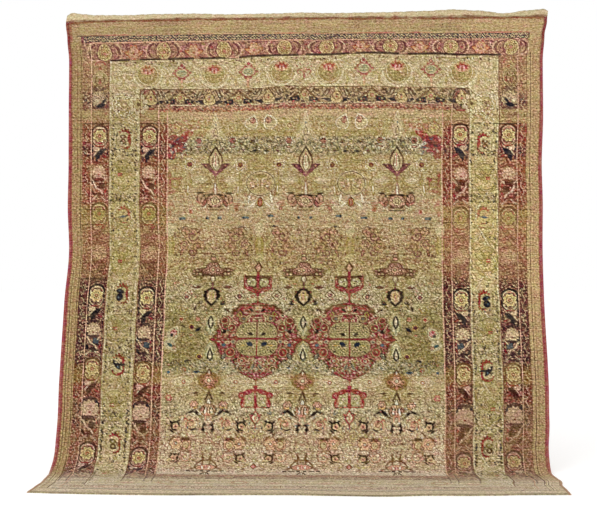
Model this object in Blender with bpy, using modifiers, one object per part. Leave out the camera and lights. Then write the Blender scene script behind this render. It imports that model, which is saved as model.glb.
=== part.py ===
"""Large Persian carpet, hung by its top edge, with its lower end swept forward over the floor.

Metres, +Z up. The origin is on the carpet's back, at the middle of its top edge. The back of the
hanging part lies in the plane y = 0, the pile faces -Y, and the width runs along X.

Three solids: the carpet itself, which is one knotted cloth with a thin flat-woven web along its
top, and the wrapped wool edge along each of its long sides.
"""
import math

import bmesh
import bpy
import numpy as np

# The cloth
WIDTH = 3.66
LENGTH = 4.395
PILE_THICKNESS = 0.007
WEB_THICKNESS = 0.003
EDGE_WIDTH = 0.022
EDGE_THICKNESS = 0.011
EDGE_GAP = 0.0006

# How it hangs: lengths along the cloth from the top edge, and the lean of the lower wall part
DROP = 1.435
LEAN_EASE = 0.80
LEAN = math.radians(18.7)
SWEEP_START = 3.28
SWEEP = 0.46

# Soft vertical waves in the leaning part, which die out above it and on the floor
WAVE_HEIGHT = 0.007
WAVE_LENGTH = 1.35
WAVE_SHIFT = 0.4
WAVE_START = 1.9
WAVE_RISE = 0.7
WAVE_END = 3.45
WAVE_FALL = 0.3

# The step from the thin web up to the pile
PILE_STEP = 0.006

# Mesh: cells across, and rows in each stretch of the length
COLUMNS = 30
EDGE_COLUMNS = 4
STRETCHES = [
    # name, ends at (length along the cloth), rows
    ("upper border", 0.60, 5),
    ("wall", DROP, 6),
    ("lean begins", DROP + LEAN_EASE, 7),
    ("lean", SWEEP_START, 7),
    ("sweep", SWEEP_START + SWEEP, 12),
    ("floor", LENGTH, 7),
]

# How far each long side stands out from a straight line
SIDE_TABLE = [
    # length along in metres, left and right in millimetres
    (0.00, 0, 35),
    (0.09, 13, 29),
    (0.20, 2, 10),
    (0.37, -11, -2),
    (0.80, -7, 3),
    (1.15, -5, -5),
    (1.50, 2, 5),
    (1.85, -12, 2),
    (2.25, 5, 1),
    (2.85, 6, 8),
    (3.15, 0, 1),
    (3.38, 5, -13),
    (3.58, 12, -14),
    (3.71, 4, 10),
    (3.83, -1, 21),
    (4.02, -9, 1),
    (4.20, 0, 7),
    (4.39, 8, 8),
]

# The two ends: how far the top edge rises past the origin's level, how far below that level the
# pile starts, and how far the bottom edge reaches past the cloth's length
END_TABLE = [
    # across in metres, top edge, pile line and bottom edge in millimetres
    (-1.83, 2, 68, -17),
    (-1.60, -16, 60, 7),
    (-1.38, -17, 54, 24),
    (-1.15, -9, 49, 38),
    (-0.85, -6, 44, 40),
    (-0.60, -12, 42, 27),
    (-0.25, -7, 40, 11),
    (0.00, 0, 38, 6),
    (0.18, -5, 38, 20),
    (0.58, 0, 38, 36),
    (0.90, 9, 37, -8),
    (1.12, 20, 37, -10),
    (1.31, 11, 36, -25),
    (1.50, -10, 35, -52),
    (1.69, 13, 33, -62),
    (1.83, 26, 31, -70),
]
END_FADE = 0.60
MILLIMETRE = 0.001

COLLECTION = "persian_rug"


def ease(t):
    """Soft step from 0 to 1 as t goes from 0 to 1."""
    t = np.clip(t, 0.0, 1.0)
    return t * t * (3.0 - 2.0 * t)


def from_table(table, column, at):
    """A column of a table at the places `at`, with a soft step from each row to the next."""
    rows = np.array(table, dtype=float)
    places = rows[:, 0]
    values = rows[:, column]
    at = np.clip(at, places[0], places[-1])
    row = np.clip(np.searchsorted(places, at, side="right") - 1, 0, len(places) - 2)
    share = ease((at - places[row]) / (places[row + 1] - places[row]))
    return (values[row] * (1.0 - share) + values[row + 1] * share) * MILLIMETRE


def angle_at(length):
    """The cloth's angle from straight down: 0 on the wall, the lean, then 90 degrees on the floor."""
    lean = LEAN * ease((length - DROP) / LEAN_EASE)
    turn = (0.5 * math.pi - LEAN) * ease((length - SWEEP_START) / SWEEP)
    return lean + turn


def side_view(length):
    """Points of the cloth's back seen from the side: the running sum of its direction.

    Returns (forward, height, angle) for each length; above the top edge the path runs straight up.
    """
    step = 0.002
    along = np.arange(0.0, LENGTH + 0.3, step)
    middle = angle_at(along[:-1] + 0.5 * step)
    forward = np.concatenate([[0.0], np.cumsum(np.sin(middle) * step)])
    height = -np.concatenate([[0.0], np.cumsum(np.cos(middle) * step)])
    on_path = np.clip(length, 0.0, None)
    above = np.clip(-length, 0.0, None)
    return np.interp(on_path, along, forward), np.interp(on_path, along, height) + above, angle_at(length)


def wave_at(across, length):
    """Height of the soft waves above the smooth cloth: a cosine across, faded along the length."""
    fade = ease((length - WAVE_START) / WAVE_RISE) * (1.0 - ease((length - WAVE_END + WAVE_FALL) / WAVE_FALL))
    return WAVE_HEIGHT * fade * (1.0 - np.cos(2.0 * math.pi * across / WAVE_LENGTH + WAVE_SHIFT)) * 0.5


def cloth_point(u, t):
    """Point of the cloth's back, for u from -1 to 1 across and t in metres from the top edge.

    The sides follow SIDE_TABLE and the ends follow END_TABLE, each fading towards the middle.
    """
    side_shift = np.where(u < 0.0, from_table(SIDE_TABLE, 1, t), from_table(SIDE_TABLE, 2, t))
    across = u * (0.5 * WIDTH + side_shift)
    flat_across = u * 0.5 * WIDTH
    top_fade = 1.0 - ease(t / END_FADE)
    bottom_fade = ease((t - LENGTH + END_FADE) / END_FADE)
    length = t - top_fade * from_table(END_TABLE, 1, flat_across)
    length = length + bottom_fade * from_table(END_TABLE, 3, flat_across)
    forward, height, angle = side_view(length)
    wave = wave_at(across, length)
    y = -forward - wave * np.cos(angle)
    z = height + wave * np.sin(angle)
    return np.stack([across, y, z], axis=-1)


def web_depth(u):
    """Depth of the flat-woven web, from the top edge down to the line where the pile starts."""
    flat_across = u * 0.5 * WIDTH
    return from_table(END_TABLE, 1, flat_across) + from_table(END_TABLE, 2, flat_across)


def pile_rows(u):
    """Length along the cloth of every row of the pile, for each place across."""
    rows = [web_depth(u) + PILE_STEP]
    for _name, end, count in STRETCHES:
        start = rows[-1]
        for step in range(1, count + 1):
            rows.append(start + (end - start) * step / count)
    return np.array(rows)


def sheet(name, u_grid, t_grid, thickness, weights, material):
    """A piece of cloth: a grid laid on the back surface, thickened towards the pile by Solidify.

    weights, one for each grid point, say what share of the thickness the cloth has there.
    """
    rows, columns = u_grid.shape
    mesh = bpy.data.meshes.new(name)
    grid = bmesh.new()
    bmesh.ops.create_grid(grid, x_segments=columns - 1, y_segments=rows - 1, size=0.5)
    grid.verts.ensure_lookup_table()
    place = np.array([v.co for v in grid.verts])
    column = np.rint((place[:, 0] + 0.5) * (columns - 1)).astype(int)
    row = np.rint((0.5 - place[:, 1]) * (rows - 1)).astype(int)
    points = cloth_point(u_grid[row, column], t_grid[row, column])
    for vertex, point in zip(grid.verts, points):
        vertex.co = point
    grid.to_mesh(mesh)
    grid.free()
    mesh.materials.append(material)
    piece = bpy.data.objects.new(name, mesh)
    bpy.data.collections[COLLECTION].objects.link(piece)
    group = piece.vertex_groups.new(name="thickness")
    for index, weight in enumerate(weights[row, column]):
        group.add([index], float(weight), "REPLACE")
    wall = piece.modifiers.new("Solidify", "SOLIDIFY")
    wall.thickness = thickness
    wall.offset = 1.0
    wall.vertex_group = group.name
    mesh.shade_smooth()
    mesh.set_sharp_from_angle(angle=math.radians(40.0))
    return piece


def wool(name, colour, roughness):
    """A plain woollen finish."""
    material = bpy.data.materials.new(name)
    material.use_nodes = True
    shader = material.node_tree.nodes["Principled BSDF"]
    shader.inputs["Base Color"].default_value = (*colour, 1.0)
    shader.inputs["Roughness"].default_value = roughness
    shader.inputs["Metallic"].default_value = 0.0
    return material


def inner_edge(side):
    """Across position, as u, of the knotted cloth's own edge beside the wrapped edge."""
    return side * (1.0 - 2.0 * (EDGE_WIDTH + EDGE_GAP) / WIDTH)


def carpet():
    """The knotted cloth: the web at full width and thin, then the pile between its two edges."""
    full = np.linspace(-1.0, 1.0, COLUMNS + 1)
    pile = np.linspace(inner_edge(-1.0), inner_edge(1.0), COLUMNS + 1)
    below = pile_rows(pile)
    u_grid = np.vstack([full, full, np.tile(pile, (len(below), 1))])
    t_grid = np.vstack([np.zeros_like(full), web_depth(full), below])
    weights = np.ones_like(u_grid)
    weights[:2] = WEB_THICKNESS / PILE_THICKNESS
    return sheet("rug", u_grid, t_grid, PILE_THICKNESS, weights, wool("pile", (0.44, 0.33, 0.19), 0.95))


def wrapped_edge(name, side, material):
    """The side cord wrapped in red wool: flat at the back and crowned in front."""
    inner = side * (1.0 - 2.0 * EDGE_WIDTH / WIDTH)
    ends = sorted([inner, side])
    u = np.linspace(ends[0], ends[1], EDGE_COLUMNS + 1)
    neighbour = np.full_like(u, inner_edge(side))
    t_grid = pile_rows(neighbour) + EDGE_GAP
    t_grid[-1] -= EDGE_GAP
    u_grid = np.tile(u, (len(t_grid), 1))
    crown = 0.55 + 0.45 * np.sin(np.linspace(0.0, math.pi, EDGE_COLUMNS + 1))
    weights = np.tile(crown, (len(t_grid), 1))
    return sheet(name, u_grid, t_grid, EDGE_THICKNESS, weights, material)


for old in list(bpy.data.objects):
    bpy.data.objects.remove(old, do_unlink=True)
bpy.context.scene.collection.children.link(bpy.data.collections.new(COLLECTION))

carpet()
red_wool = wool("edge_wool", (0.24, 0.045, 0.035), 0.9)
wrapped_edge("selvage_left", -1.0, red_wool)
wrapped_edge("selvage_right", 1.0, red_wool)
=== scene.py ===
"""Large Persian carpet, hung by its top edge, with its lower end leaning and swept out over the floor.

Metres, +Z up, with the pile facing -Y. A place on the cloth is given by its distance across, from the
middle to the right, and its distance along, from the top edge down the wall and out over the floor.
"""
import math

import bpy
import numpy as np
from mathutils import Matrix, Vector


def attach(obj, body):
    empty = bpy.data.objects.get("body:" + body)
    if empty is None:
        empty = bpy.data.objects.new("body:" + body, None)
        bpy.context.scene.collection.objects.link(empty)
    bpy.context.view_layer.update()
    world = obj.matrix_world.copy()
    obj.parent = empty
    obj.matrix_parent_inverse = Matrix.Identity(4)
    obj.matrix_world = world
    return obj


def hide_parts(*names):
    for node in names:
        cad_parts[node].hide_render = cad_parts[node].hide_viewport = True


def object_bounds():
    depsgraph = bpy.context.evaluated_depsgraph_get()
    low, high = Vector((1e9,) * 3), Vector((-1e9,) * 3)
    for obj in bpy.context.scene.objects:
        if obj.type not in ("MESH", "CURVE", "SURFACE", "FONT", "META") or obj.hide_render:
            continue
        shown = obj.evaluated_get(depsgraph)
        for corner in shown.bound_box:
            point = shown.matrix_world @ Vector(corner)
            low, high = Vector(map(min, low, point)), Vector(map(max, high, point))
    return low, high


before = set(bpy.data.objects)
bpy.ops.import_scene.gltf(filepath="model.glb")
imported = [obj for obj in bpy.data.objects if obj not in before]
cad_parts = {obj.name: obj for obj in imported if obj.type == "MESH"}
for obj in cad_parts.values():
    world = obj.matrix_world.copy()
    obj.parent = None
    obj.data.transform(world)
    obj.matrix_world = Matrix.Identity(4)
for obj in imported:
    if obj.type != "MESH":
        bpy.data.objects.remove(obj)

cad_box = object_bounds()

# ---------------------------------------------------------------------------------------------
# The web: the flat-woven strip of bare cotton warps and wefts that the weaver makes first. It is
# the top of the cloth, hangs from its upper edge, and is undyed, thin and a little uneven.
# ---------------------------------------------------------------------------------------------
WIDTH = 3.66
LENGTH = 4.395
DROP = 1.435
LEAN_EASE = 0.80
LEAN = math.radians(18.7)
SWEEP_START = 3.28
SWEEP = 0.46
WAVE_HEIGHT = 0.007
WAVE_LENGTH = 1.35
WAVE_SHIFT = 0.4
WAVE_START = 1.9
WAVE_RISE = 0.7
WAVE_END = 3.45
WAVE_FALL = 0.3
END_FADE = 0.60
MILLIMETRE = 0.001

# How far each long side stands out from a straight line
SIDE_TABLE = [
    # length along in metres, left and right in millimetres
    (0.00, 0, 35), (0.09, 13, 29), (0.20, 2, 10), (0.37, -11, -2), (0.80, -7, 3), (1.15, -5, -5),
    (1.50, 2, 5), (1.85, -12, 2), (2.25, 5, 1), (2.85, 6, 8), (3.15, 0, 1), (3.38, 5, -13),
    (3.58, 12, -14), (3.71, 4, 10), (3.83, -1, 21), (4.02, -9, 1), (4.20, 0, 7), (4.39, 8, 8),
]

# How far the top edge rises, how deep the pile starts, and how far the bottom edge reaches
END_TABLE = [
    # across in metres, top edge, pile line and bottom edge in millimetres
    (-1.83, 2, 68, -17), (-1.60, -16, 60, 7), (-1.38, -17, 54, 24), (-1.15, -9, 49, 38),
    (-0.85, -6, 44, 40), (-0.60, -12, 42, 27), (-0.25, -7, 40, 11), (0.00, 0, 38, 6), (0.18, -5, 38, 20),
    (0.58, 0, 38, 36), (0.90, 9, 37, -8), (1.12, 20, 37, -10), (1.31, 11, 36, -25), (1.50, -10, 35, -52),
    (1.69, 13, 33, -62), (1.83, 26, 31, -70),
]


def ease(t):
    """Soft step from 0 to 1: three t squared less two t cubed, with t held between 0 and 1."""
    t = np.clip(t, 0.0, 1.0)
    return t * t * (3.0 - 2.0 * t)


def from_table(table, column, at):
    """A table's column at the places `at`, with a soft step between rows, turned into metres."""
    rows = np.array(table, dtype=float)
    places, values = rows[:, 0], rows[:, column]
    at = np.clip(at, places[0], places[-1])
    row = np.clip(np.searchsorted(places, at, side="right") - 1, 0, len(places) - 2)
    share = ease((at - places[row]) / (places[row + 1] - places[row]))
    return (values[row] * (1.0 - share) + values[row + 1] * share) * MILLIMETRE


def angle_at(length):
    """The cloth's angle from straight down: the lean, then the sweep to 90 degrees on the floor."""
    lean = LEAN * ease((length - DROP) / LEAN_EASE)
    return lean + (0.5 * math.pi - LEAN) * ease((length - SWEEP_START) / SWEEP)


PATH_STEP = 0.002
path_length = np.arange(0.0, LENGTH + 0.3, PATH_STEP)
path_angle = angle_at(path_length[:-1] + 0.5 * PATH_STEP)
path_forward = np.concatenate([[0.0], np.cumsum(np.sin(path_angle) * PATH_STEP)])
path_height = -np.concatenate([[0.0], np.cumsum(np.cos(path_angle) * PATH_STEP)])


def hang(across, along, lift):
    """Points of the hanging cloth, `lift` metres out from its back.

    The back's side view is the running sum of the cloth's direction. The sides and the ends shift
    by their tables, a cosine wave lies over the leaning part, and lift goes along the normal, which
    is forward on the wall and up on the floor.
    """
    u = across / (0.5 * WIDTH)
    side_shift = np.where(u < 0.0, from_table(SIDE_TABLE, 1, along), from_table(SIDE_TABLE, 2, along))
    x = u * (0.5 * WIDTH + side_shift)
    top_fade = 1.0 - ease(along / END_FADE)
    bottom_fade = ease((along - LENGTH + END_FADE) / END_FADE)
    length = along - top_fade * from_table(END_TABLE, 1, across)
    length = length + bottom_fade * from_table(END_TABLE, 3, across)
    forward = np.interp(np.clip(length, 0.0, None), path_length, path_forward)
    height = np.interp(np.clip(length, 0.0, None), path_length, path_height) + np.clip(-length, 0.0, None)
    angle = angle_at(length)
    fade = ease((length - WAVE_START) / WAVE_RISE) * (1.0 - ease((length - WAVE_END + WAVE_FALL) / WAVE_FALL))
    wave = WAVE_HEIGHT * fade * (1.0 - np.cos(2.0 * math.pi * x / WAVE_LENGTH + WAVE_SHIFT)) * 0.5
    out = wave + lift
    return np.stack([x, -forward - out * np.cos(angle), height + out * np.sin(angle)], axis=-1)


def pile_line(across):
    """Distance along to the line where the pile starts: the top edge's rise and the web's depth."""
    return from_table(END_TABLE, 1, across) + from_table(END_TABLE, 2, across)


def linear(values):
    """Linear colour values from display values of 0 to 1, by the standard sRGB curve."""
    return np.where(values <= 0.04045, values / 12.92, ((values + 0.055) / 1.055) ** 2.4)


def shade_of(red, green, blue):
    """A colour of 0 to 1 from display values of 0 to 255."""
    return np.array([red, green, blue]) / 255.0


def tint(target, colour, share):
    """Moves the colours of an array towards another colour, by a share given for each place."""
    target += (colour - target) * share[..., None]


def in_scene(name, data):
    """A new object of the given data, linked to the scene."""
    made = bpy.data.objects.new(name, data)
    bpy.context.scene.collection.objects.link(made)
    return made


def write_map(mesh, name, places):
    """Adds a UV map that holds a place for every face corner."""
    mesh.uv_layers.new(name=name).uv.foreach_set("vector", places.astype(np.float32).ravel())


def write_paint(mesh, name, colours):
    """Adds a colour for every vertex, whose fourth value the finish reads as well."""
    layer = mesh.color_attributes.new(name=name, type="FLOAT_COLOR", domain="POINT")
    layer.data.foreach_set("color", colours.astype(np.float32).ravel())


def closed_slab(name, front, back, front_paint, back_paint, flat_place, materials):
    """A closed sheet from a front grid of points and a back grid of the same or half as many cells.

    Front cells are quads, seen from the front with rows going down and columns to the right. The
    rim joins every back cell's edge to the front edges beside it with triangles. Each grid lies
    flat in its own part of the UV square, and the map "cloth" holds places on the cloth in metres.
    """
    down, wide = front.shape[0] - 1, front.shape[1] - 1
    step = down // (back.shape[0] - 1)
    f = np.arange((down + 1) * (wide + 1)).reshape(down + 1, wide + 1)
    b = np.arange(back.shape[0] * back.shape[1]).reshape(back.shape[:2]) + f.size
    front_faces = np.stack([f[:-1, :-1], f[1:, :-1], f[1:, 1:], f[:-1, 1:]], axis=-1).reshape(-1, 4)
    back_faces = np.stack([b[:-1, :-1], b[:-1, 1:], b[1:, 1:], b[1:, :-1]], axis=-1).reshape(-1, 4)
    rims = []
    for f_edge, b_edge, turned in ((f[0], b[0], False), (f[-1], b[-1], True),
                                   (f[:, 0], b[:, 0], True), (f[:, -1], b[:, -1], False)):
        if step == 2:
            triples = [(f_edge[:-2:2], f_edge[1:-1:2], b_edge[:-1]),
                       (f_edge[1:-1:2], b_edge[1:], b_edge[:-1]),
                       (f_edge[1:-1:2], f_edge[2::2], b_edge[1:])]
        else:
            triples = [(f_edge[:-1], f_edge[1:], b_edge[:-1]), (f_edge[1:], b_edge[1:], b_edge[:-1])]
        for triple in triples:
            rims.append(np.stack(triple[::-1] if turned else triple, axis=-1))
    rims = np.concatenate(rims)
    corners = np.concatenate([front_faces.ravel(), back_faces.ravel(), rims.ravel()])
    sizes = np.concatenate([np.full(len(front_faces) + len(back_faces), 4), np.full(len(rims), 3)])
    mesh = bpy.data.meshes.new(name)
    mesh.vertices.add(f.size + b.size)
    mesh.vertices.foreach_set("co", np.concatenate([front.reshape(-1, 3), back.reshape(-1, 3)]).ravel())
    mesh.loops.add(len(corners))
    mesh.loops.foreach_set("vertex_index", corners.astype(np.int32))
    mesh.polygons.add(len(sizes))
    mesh.polygons.foreach_set("loop_start", np.concatenate([[0], np.cumsum(sizes)[:-1]]).astype(np.int32))
    mesh.update(calc_edges=True)
    behind = np.zeros(len(sizes), dtype=np.int32)
    behind[len(front_faces):len(front_faces) + len(back_faces)] = len(materials) - 1
    mesh.polygons.foreach_set("material_index", behind)

    rows, columns = np.mgrid[0:down + 1, 0:wide + 1]
    across_share, along_share = columns.ravel() / wide, rows.ravel() / down
    flat = flat_place.reshape(-1, 2)
    tall = np.ptp(flat[:, 1]) > np.ptp(flat[:, 0])
    margin, whole, main, between, rest, rim_width = 0.012, 0.976, 0.64, 0.014, 0.32, 0.004
    map_wide, map_high = (main, whole) if tall else (whole, main)
    front_uv = np.stack([margin + map_wide * across_share, margin + map_high * (1 - along_share)], -1)
    at_back = f[::step, ::step].ravel()
    back_uv = front_uv[at_back].copy()
    side = 0 if tall else 1
    back_uv[:, side] = margin + main + between + (back_uv[:, side] - margin) / main * rest
    bake = np.concatenate([front_uv, back_uv])[corners]
    rim_start = 4 * (len(front_faces) + len(back_faces))
    rim_corner = corners[rim_start:]
    from_back = rim_corner >= f.size
    rim_uv = np.concatenate([front_uv, front_uv[at_back]])[rim_corner]
    middle = 0.5 * (front_uv.min(axis=0) + front_uv.max(axis=0))
    rim_uv[from_back] += np.sign(rim_uv[from_back] - middle) * rim_width
    bake[rim_start:] = rim_uv
    write_map(mesh, "OFBake", bake)
    write_map(mesh, "cloth", np.concatenate([flat, flat[at_back]])[corners])
    for title, ahead, after in zip(("dye", "line"), front_paint, back_paint):
        write_paint(mesh, title, np.concatenate([ahead.reshape(-1, 4), after.reshape(-1, 4)]))
    for material in materials:
        mesh.materials.append(material)
    mesh.shade_smooth()
    mesh.set_sharp_from_angle(angle=math.radians(50.0))
    return in_scene(name, mesh)


def add_socket(tree, name, kind, out=False, value=None):
    """One named input or output on a shader node group."""
    way = "OUTPUT" if out else "INPUT"
    made = tree.interface.new_socket(name=name, in_out=way, socket_type="NodeSocket" + kind)
    if value is not None:
        made.default_value = value


def node(tree, kind, inputs=(), **settings):
    """A node with its settings, and with inputs given as (socket, value or another node's output)."""
    made = tree.nodes.new("ShaderNode" + kind)
    for key, value in settings.items():
        setattr(made, key, value)
    for socket, value in inputs:
        if isinstance(value, bpy.types.NodeSocket):
            tree.links.new(value, made.inputs[socket])
        else:
            made.inputs[socket].default_value = value
    return made


def math_node(tree, operation, a, b=0.0, c=0.0, clamp=False):
    """A Math node's output."""
    return node(tree, "Math", ((0, a), (1, b), (2, c)), operation=operation, use_clamp=clamp).outputs[0]


def swayed(tree, noise, amount, middle):
    """A middle value, raised and lowered by the noise's distance from a half times an amount."""
    return math_node(tree, "MULTIPLY_ADD", math_node(tree, "SUBTRACT", noise, 0.5), amount, middle)


def mixed(tree, share, a, b):
    """A colour Mix node's output: socket 0 is the share, 6 and 7 the colours."""
    sockets = ((0, share), (6, a), (7, b))
    return node(tree, "Mix", sockets, data_type="RGBA", clamp_factor=True).outputs[2]


def cloth_noise(tree, width, height, detail=1.0):
    """Noise in cells of width by height metres, laid on the cloth's own places."""
    place = node(tree, "UVMap", uv_map="cloth").outputs[0]
    cells = node(tree, "VectorMath", ((0, place), (1, (1.0 / width, 1.0 / height, 1.0))),
                 operation="MULTIPLY").outputs[0]
    return node(tree, "TexNoise", (("Vector", cells), ("Scale", 1.0), ("Detail", detail),
                                   ("Roughness", 0.55)), noise_dimensions="2D").outputs["Fac"]


def knotted_wool():
    """Node group for dyed yarn in cloth: painted dye and outlines, uneven dyeing, flecks and wear."""
    tree = bpy.data.node_groups.new("knotted wool", "ShaderNodeTree")
    for name, kind, value in (("Dye", "Color", None), ("Line", "Color", None), ("Near", "Float", 0.0),
                              ("Speckle", "Float", 1.0), ("Wear", "Float", 0.3), ("Worn", "Color", None)):
        add_socket(tree, name, kind, value=value)
    add_socket(tree, "Colour", "Color", out=True)
    add_socket(tree, "Height", "Float", out=True)
    given = tree.nodes.new("NodeGroupInput").outputs
    knots = cloth_noise(tree, 0.0080, 0.0072, 1.0)
    flecks = cloth_noise(tree, 0.0210, 0.0085, 2.0)
    streaks = cloth_noise(tree, 0.30, 0.0110, 2.0)
    clouds = cloth_noise(tree, 0.060, 0.045, 3.0)
    jitter = swayed(tree, knots, 0.10, given["Near"])
    line_share = node(tree, "MapRange", (("Value", jitter), ("From Min", 0.46), ("From Max", 0.54)),
                      clamp=True, interpolation_type="SMOOTHSTEP").outputs[0]
    colour = mixed(tree, line_share, given["Dye"], given["Line"])
    value = swayed(tree, flecks, 1.7, 1.0)
    value = swayed(tree, knots, 1.2, value)
    value = swayed(tree, streaks, 0.9, value)
    value = math_node(tree, "MULTIPLY_ADD", math_node(tree, "SUBTRACT", value, 1.0), given["Speckle"], 1.0)
    hue = swayed(tree, clouds, 0.10, 0.5)
    hue = swayed(tree, knots, 0.06, hue)
    strength = swayed(tree, flecks, -0.7, 1.0)
    colour = node(tree, "HueSaturation", (("Hue", hue), ("Saturation", strength), ("Value", value),
                                          ("Color", colour))).outputs[0]
    bare = node(tree, "MapRange", (("Value", math_node(tree, "MULTIPLY_ADD", streaks, 0.6, clouds)),
                                   ("From Min", 0.80), ("From Max", 1.05)), clamp=True).outputs[0]
    bare = math_node(tree, "MULTIPLY", bare, given["Wear"])
    colour = mixed(tree, bare, colour, given["Worn"])
    height = math_node(tree, "MULTIPLY_ADD", flecks, 0.6, knots)
    result = tree.nodes.new("NodeGroupOutput")
    tree.links.new(colour, result.inputs["Colour"])
    tree.links.new(height, result.inputs["Height"])
    return tree


wool_tree = knotted_wool()


def cloth_material(name, wear, worn, bump_depth, roughness, sheen):
    """A matt cloth finish that reads the painted dye and outlines through the knotted wool group."""
    material = bpy.data.materials.new(name)
    material.use_nodes = True
    tree = material.node_tree
    shader = tree.nodes["Principled BSDF"]
    dye = node(tree, "Attribute", attribute_name="dye", attribute_type="GEOMETRY")
    line = node(tree, "Attribute", attribute_name="line", attribute_type="GEOMETRY")
    wool = tree.nodes.new("ShaderNodeGroup")
    wool.node_tree = wool_tree
    for output, socket in ((dye.outputs["Color"], "Dye"), (dye.outputs["Alpha"], "Speckle"),
                           (line.outputs["Color"], "Line"), (line.outputs["Alpha"], "Near")):
        tree.links.new(output, wool.inputs[socket])
    wool.inputs["Wear"].default_value = wear
    wool.inputs["Worn"].default_value = (*worn, 1.0)
    tree.links.new(wool.outputs["Colour"], shader.inputs["Base Color"])
    bump = node(tree, "Bump", (("Height", wool.outputs["Height"]), ("Distance", bump_depth),
                               ("Strength", 0.6)))
    tree.links.new(bump.outputs[0], shader.inputs["Normal"])
    shader.inputs["Roughness"].default_value = roughness
    shader.inputs["Specular IOR Level"].default_value = 0.03
    shader.inputs["Sheen Weight"].default_value = sheen
    shader.inputs["Sheen Roughness"].default_value = 0.5
    shader.inputs["Sheen Tint"].default_value = (1.0, 0.90, 0.72, 1.0)
    return material


def display(red, green, blue):
    """Linear colour of display values of 0 to 255."""
    return tuple(float(v) for v in linear(shade_of(red, green, blue)))


cotton = cloth_material("bare cotton", 0.5, display(172, 160, 132), 0.0007, 0.9, 0.1)

WEB_COLUMNS = 732
WEB_ROWS = 10
WEB_THICKNESS = 0.003
NO_LINE = np.array([0.3, 0.2, 0.15, 0.0])

web_across = np.linspace(-0.5 * WIDTH, 0.5 * WIDTH, WEB_COLUMNS + 1)
share_down = np.linspace(0.0, 1.0, WEB_ROWS + 1)[:, None]
ragged = (0.0012 * np.sin(web_across * 61.0) + 0.0009 * np.sin(web_across * 143.0 + 1.0)
          + 0.0006 * np.sin(web_across * 397.0))
web_top = ragged - 0.0005 + 0.020 * ease((np.abs(web_across) - 1.785) / 0.045) ** 2
web_along = web_top * (1.0 - share_down) + (pile_line(web_across) + 0.004) * share_down
web_across_grid = np.broadcast_to(web_across, web_along.shape)
web_lift = WEB_THICKNESS + 0.0004 * np.sin(web_across_grid * 900.0) * np.sin(web_along * 1300.0)
web_front = hang(web_across_grid, web_along, web_lift)
web_back = hang(web_across_grid, web_along, np.zeros_like(web_along))
cream = shade_of(196, 177, 138)
grey = shade_of(158, 144, 114)
soiled = 0.5 + 0.5 * np.sin(web_across_grid * 3.1 + 0.6) * np.sin(web_across_grid * 7.7)
web_colour = cream + (grey - cream) * (0.15 * soiled + 0.75 * np.exp(-share_down / 0.12))[..., None]
wander = (0.05 * np.sin(web_across * 9.0) + 0.04 * np.sin(web_across * 23.0 + 1.0)
          + 0.03 * np.sin(web_across * 71.0))
left_part = ease((-1.1 - web_across) / 0.3)
red_share = ease((share_down - 0.66 - 0.06 * left_part - wander) / 0.16)
red_share *= 0.82 + 0.18 * np.sin(web_across * 37.0)
tint(web_colour, shade_of(110, 74, 52), 0.9 * red_share)
web_paint = np.concatenate([linear(web_colour), np.full(web_along.shape + (1,), 0.7)], axis=-1)
no_line = np.broadcast_to(NO_LINE, web_along.shape + (4,))
end_web = closed_slab("end_web", web_front, web_back, (web_paint, no_line), (web_paint, no_line),
                      np.stack([web_across_grid, web_along], axis=-1), [cotton])
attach(end_web, "root")
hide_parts("rug")

# ---------------------------------------------------------------------------------------------
# The pile: wool knots on the same warps. Its design is worked out here on one grid of places for
# the whole carpet: borders first, then the field, each motif drawn from a small chart.
# ---------------------------------------------------------------------------------------------
EDGE_WIDTH = 0.022
EDGE_GAP = 0.0006
PILE_THICKNESS = 0.007
PILE_STEP = 0.006
PILE_TOP = 0.045
PILE_COLUMNS = 532
PILE_ROWS = 640
REACH = 0.02

pile_side = 0.5 * WIDTH - EDGE_WIDTH - EDGE_GAP
grid_across = np.linspace(-pile_side, pile_side, PILE_COLUMNS + 1)
grid_along = np.linspace(PILE_TOP, LENGTH, PILE_ROWS + 1)
CELL = 2.0 * pile_side / PILE_COLUMNS

DYES = {
    # names of the dyed wools and their display colours as they have faded
    "ivory": (206, 188, 144), "cream": (219, 204, 164), "sand": (188, 164, 118), "straw": (178, 155, 106),
    "tan": (176, 149, 109), "olive": (156, 135, 76), "moss": (128, 112, 60), "gold": (186, 152, 86),
    "grey_green": (148, 148, 112), "rose": (182, 122, 98), "pink": (208, 152, 134), "brick": (158, 82, 64),
    "red": (150, 52, 50), "crimson": (148, 52, 56), "plum": (104, 54, 58), "brown": (112, 76, 50),
    "dark": (62, 42, 36), "navy": (40, 34, 48), "slate": (88, 100, 102), "teal": (66, 92, 90),
    "salmon": (190, 144, 112), "rust": (140, 88, 54), "pale_pink": (206, 164, 130), "bark": (96, 66, 42),
    "ink": (42, 28, 32), "umber": (92, 60, 44), "madder": (142, 54, 56), "rose_brown": (150, 98, 80),
}
DYES = {name: shade_of(*value) for name, value in DYES.items()}


def drift(count, low, high, seed):
    """Smooth random field of about -1 to 1: a sum of cosines with wavelengths from low to high metres."""
    chance = np.random.default_rng(seed)
    total = np.zeros((PILE_ROWS + 1, PILE_COLUMNS + 1))
    for _ in range(count):
        turn = chance.uniform(0.0, 2.0 * math.pi)
        size = 2.0 * math.pi / chance.uniform(low, high)
        shift = chance.uniform(0.0, 2.0 * math.pi)
        place = grid_across[None, :] * math.cos(turn) + grid_along[:, None] * math.sin(turn)
        total += np.cos(size * place + shift)
    return total / math.sqrt(count)


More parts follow.
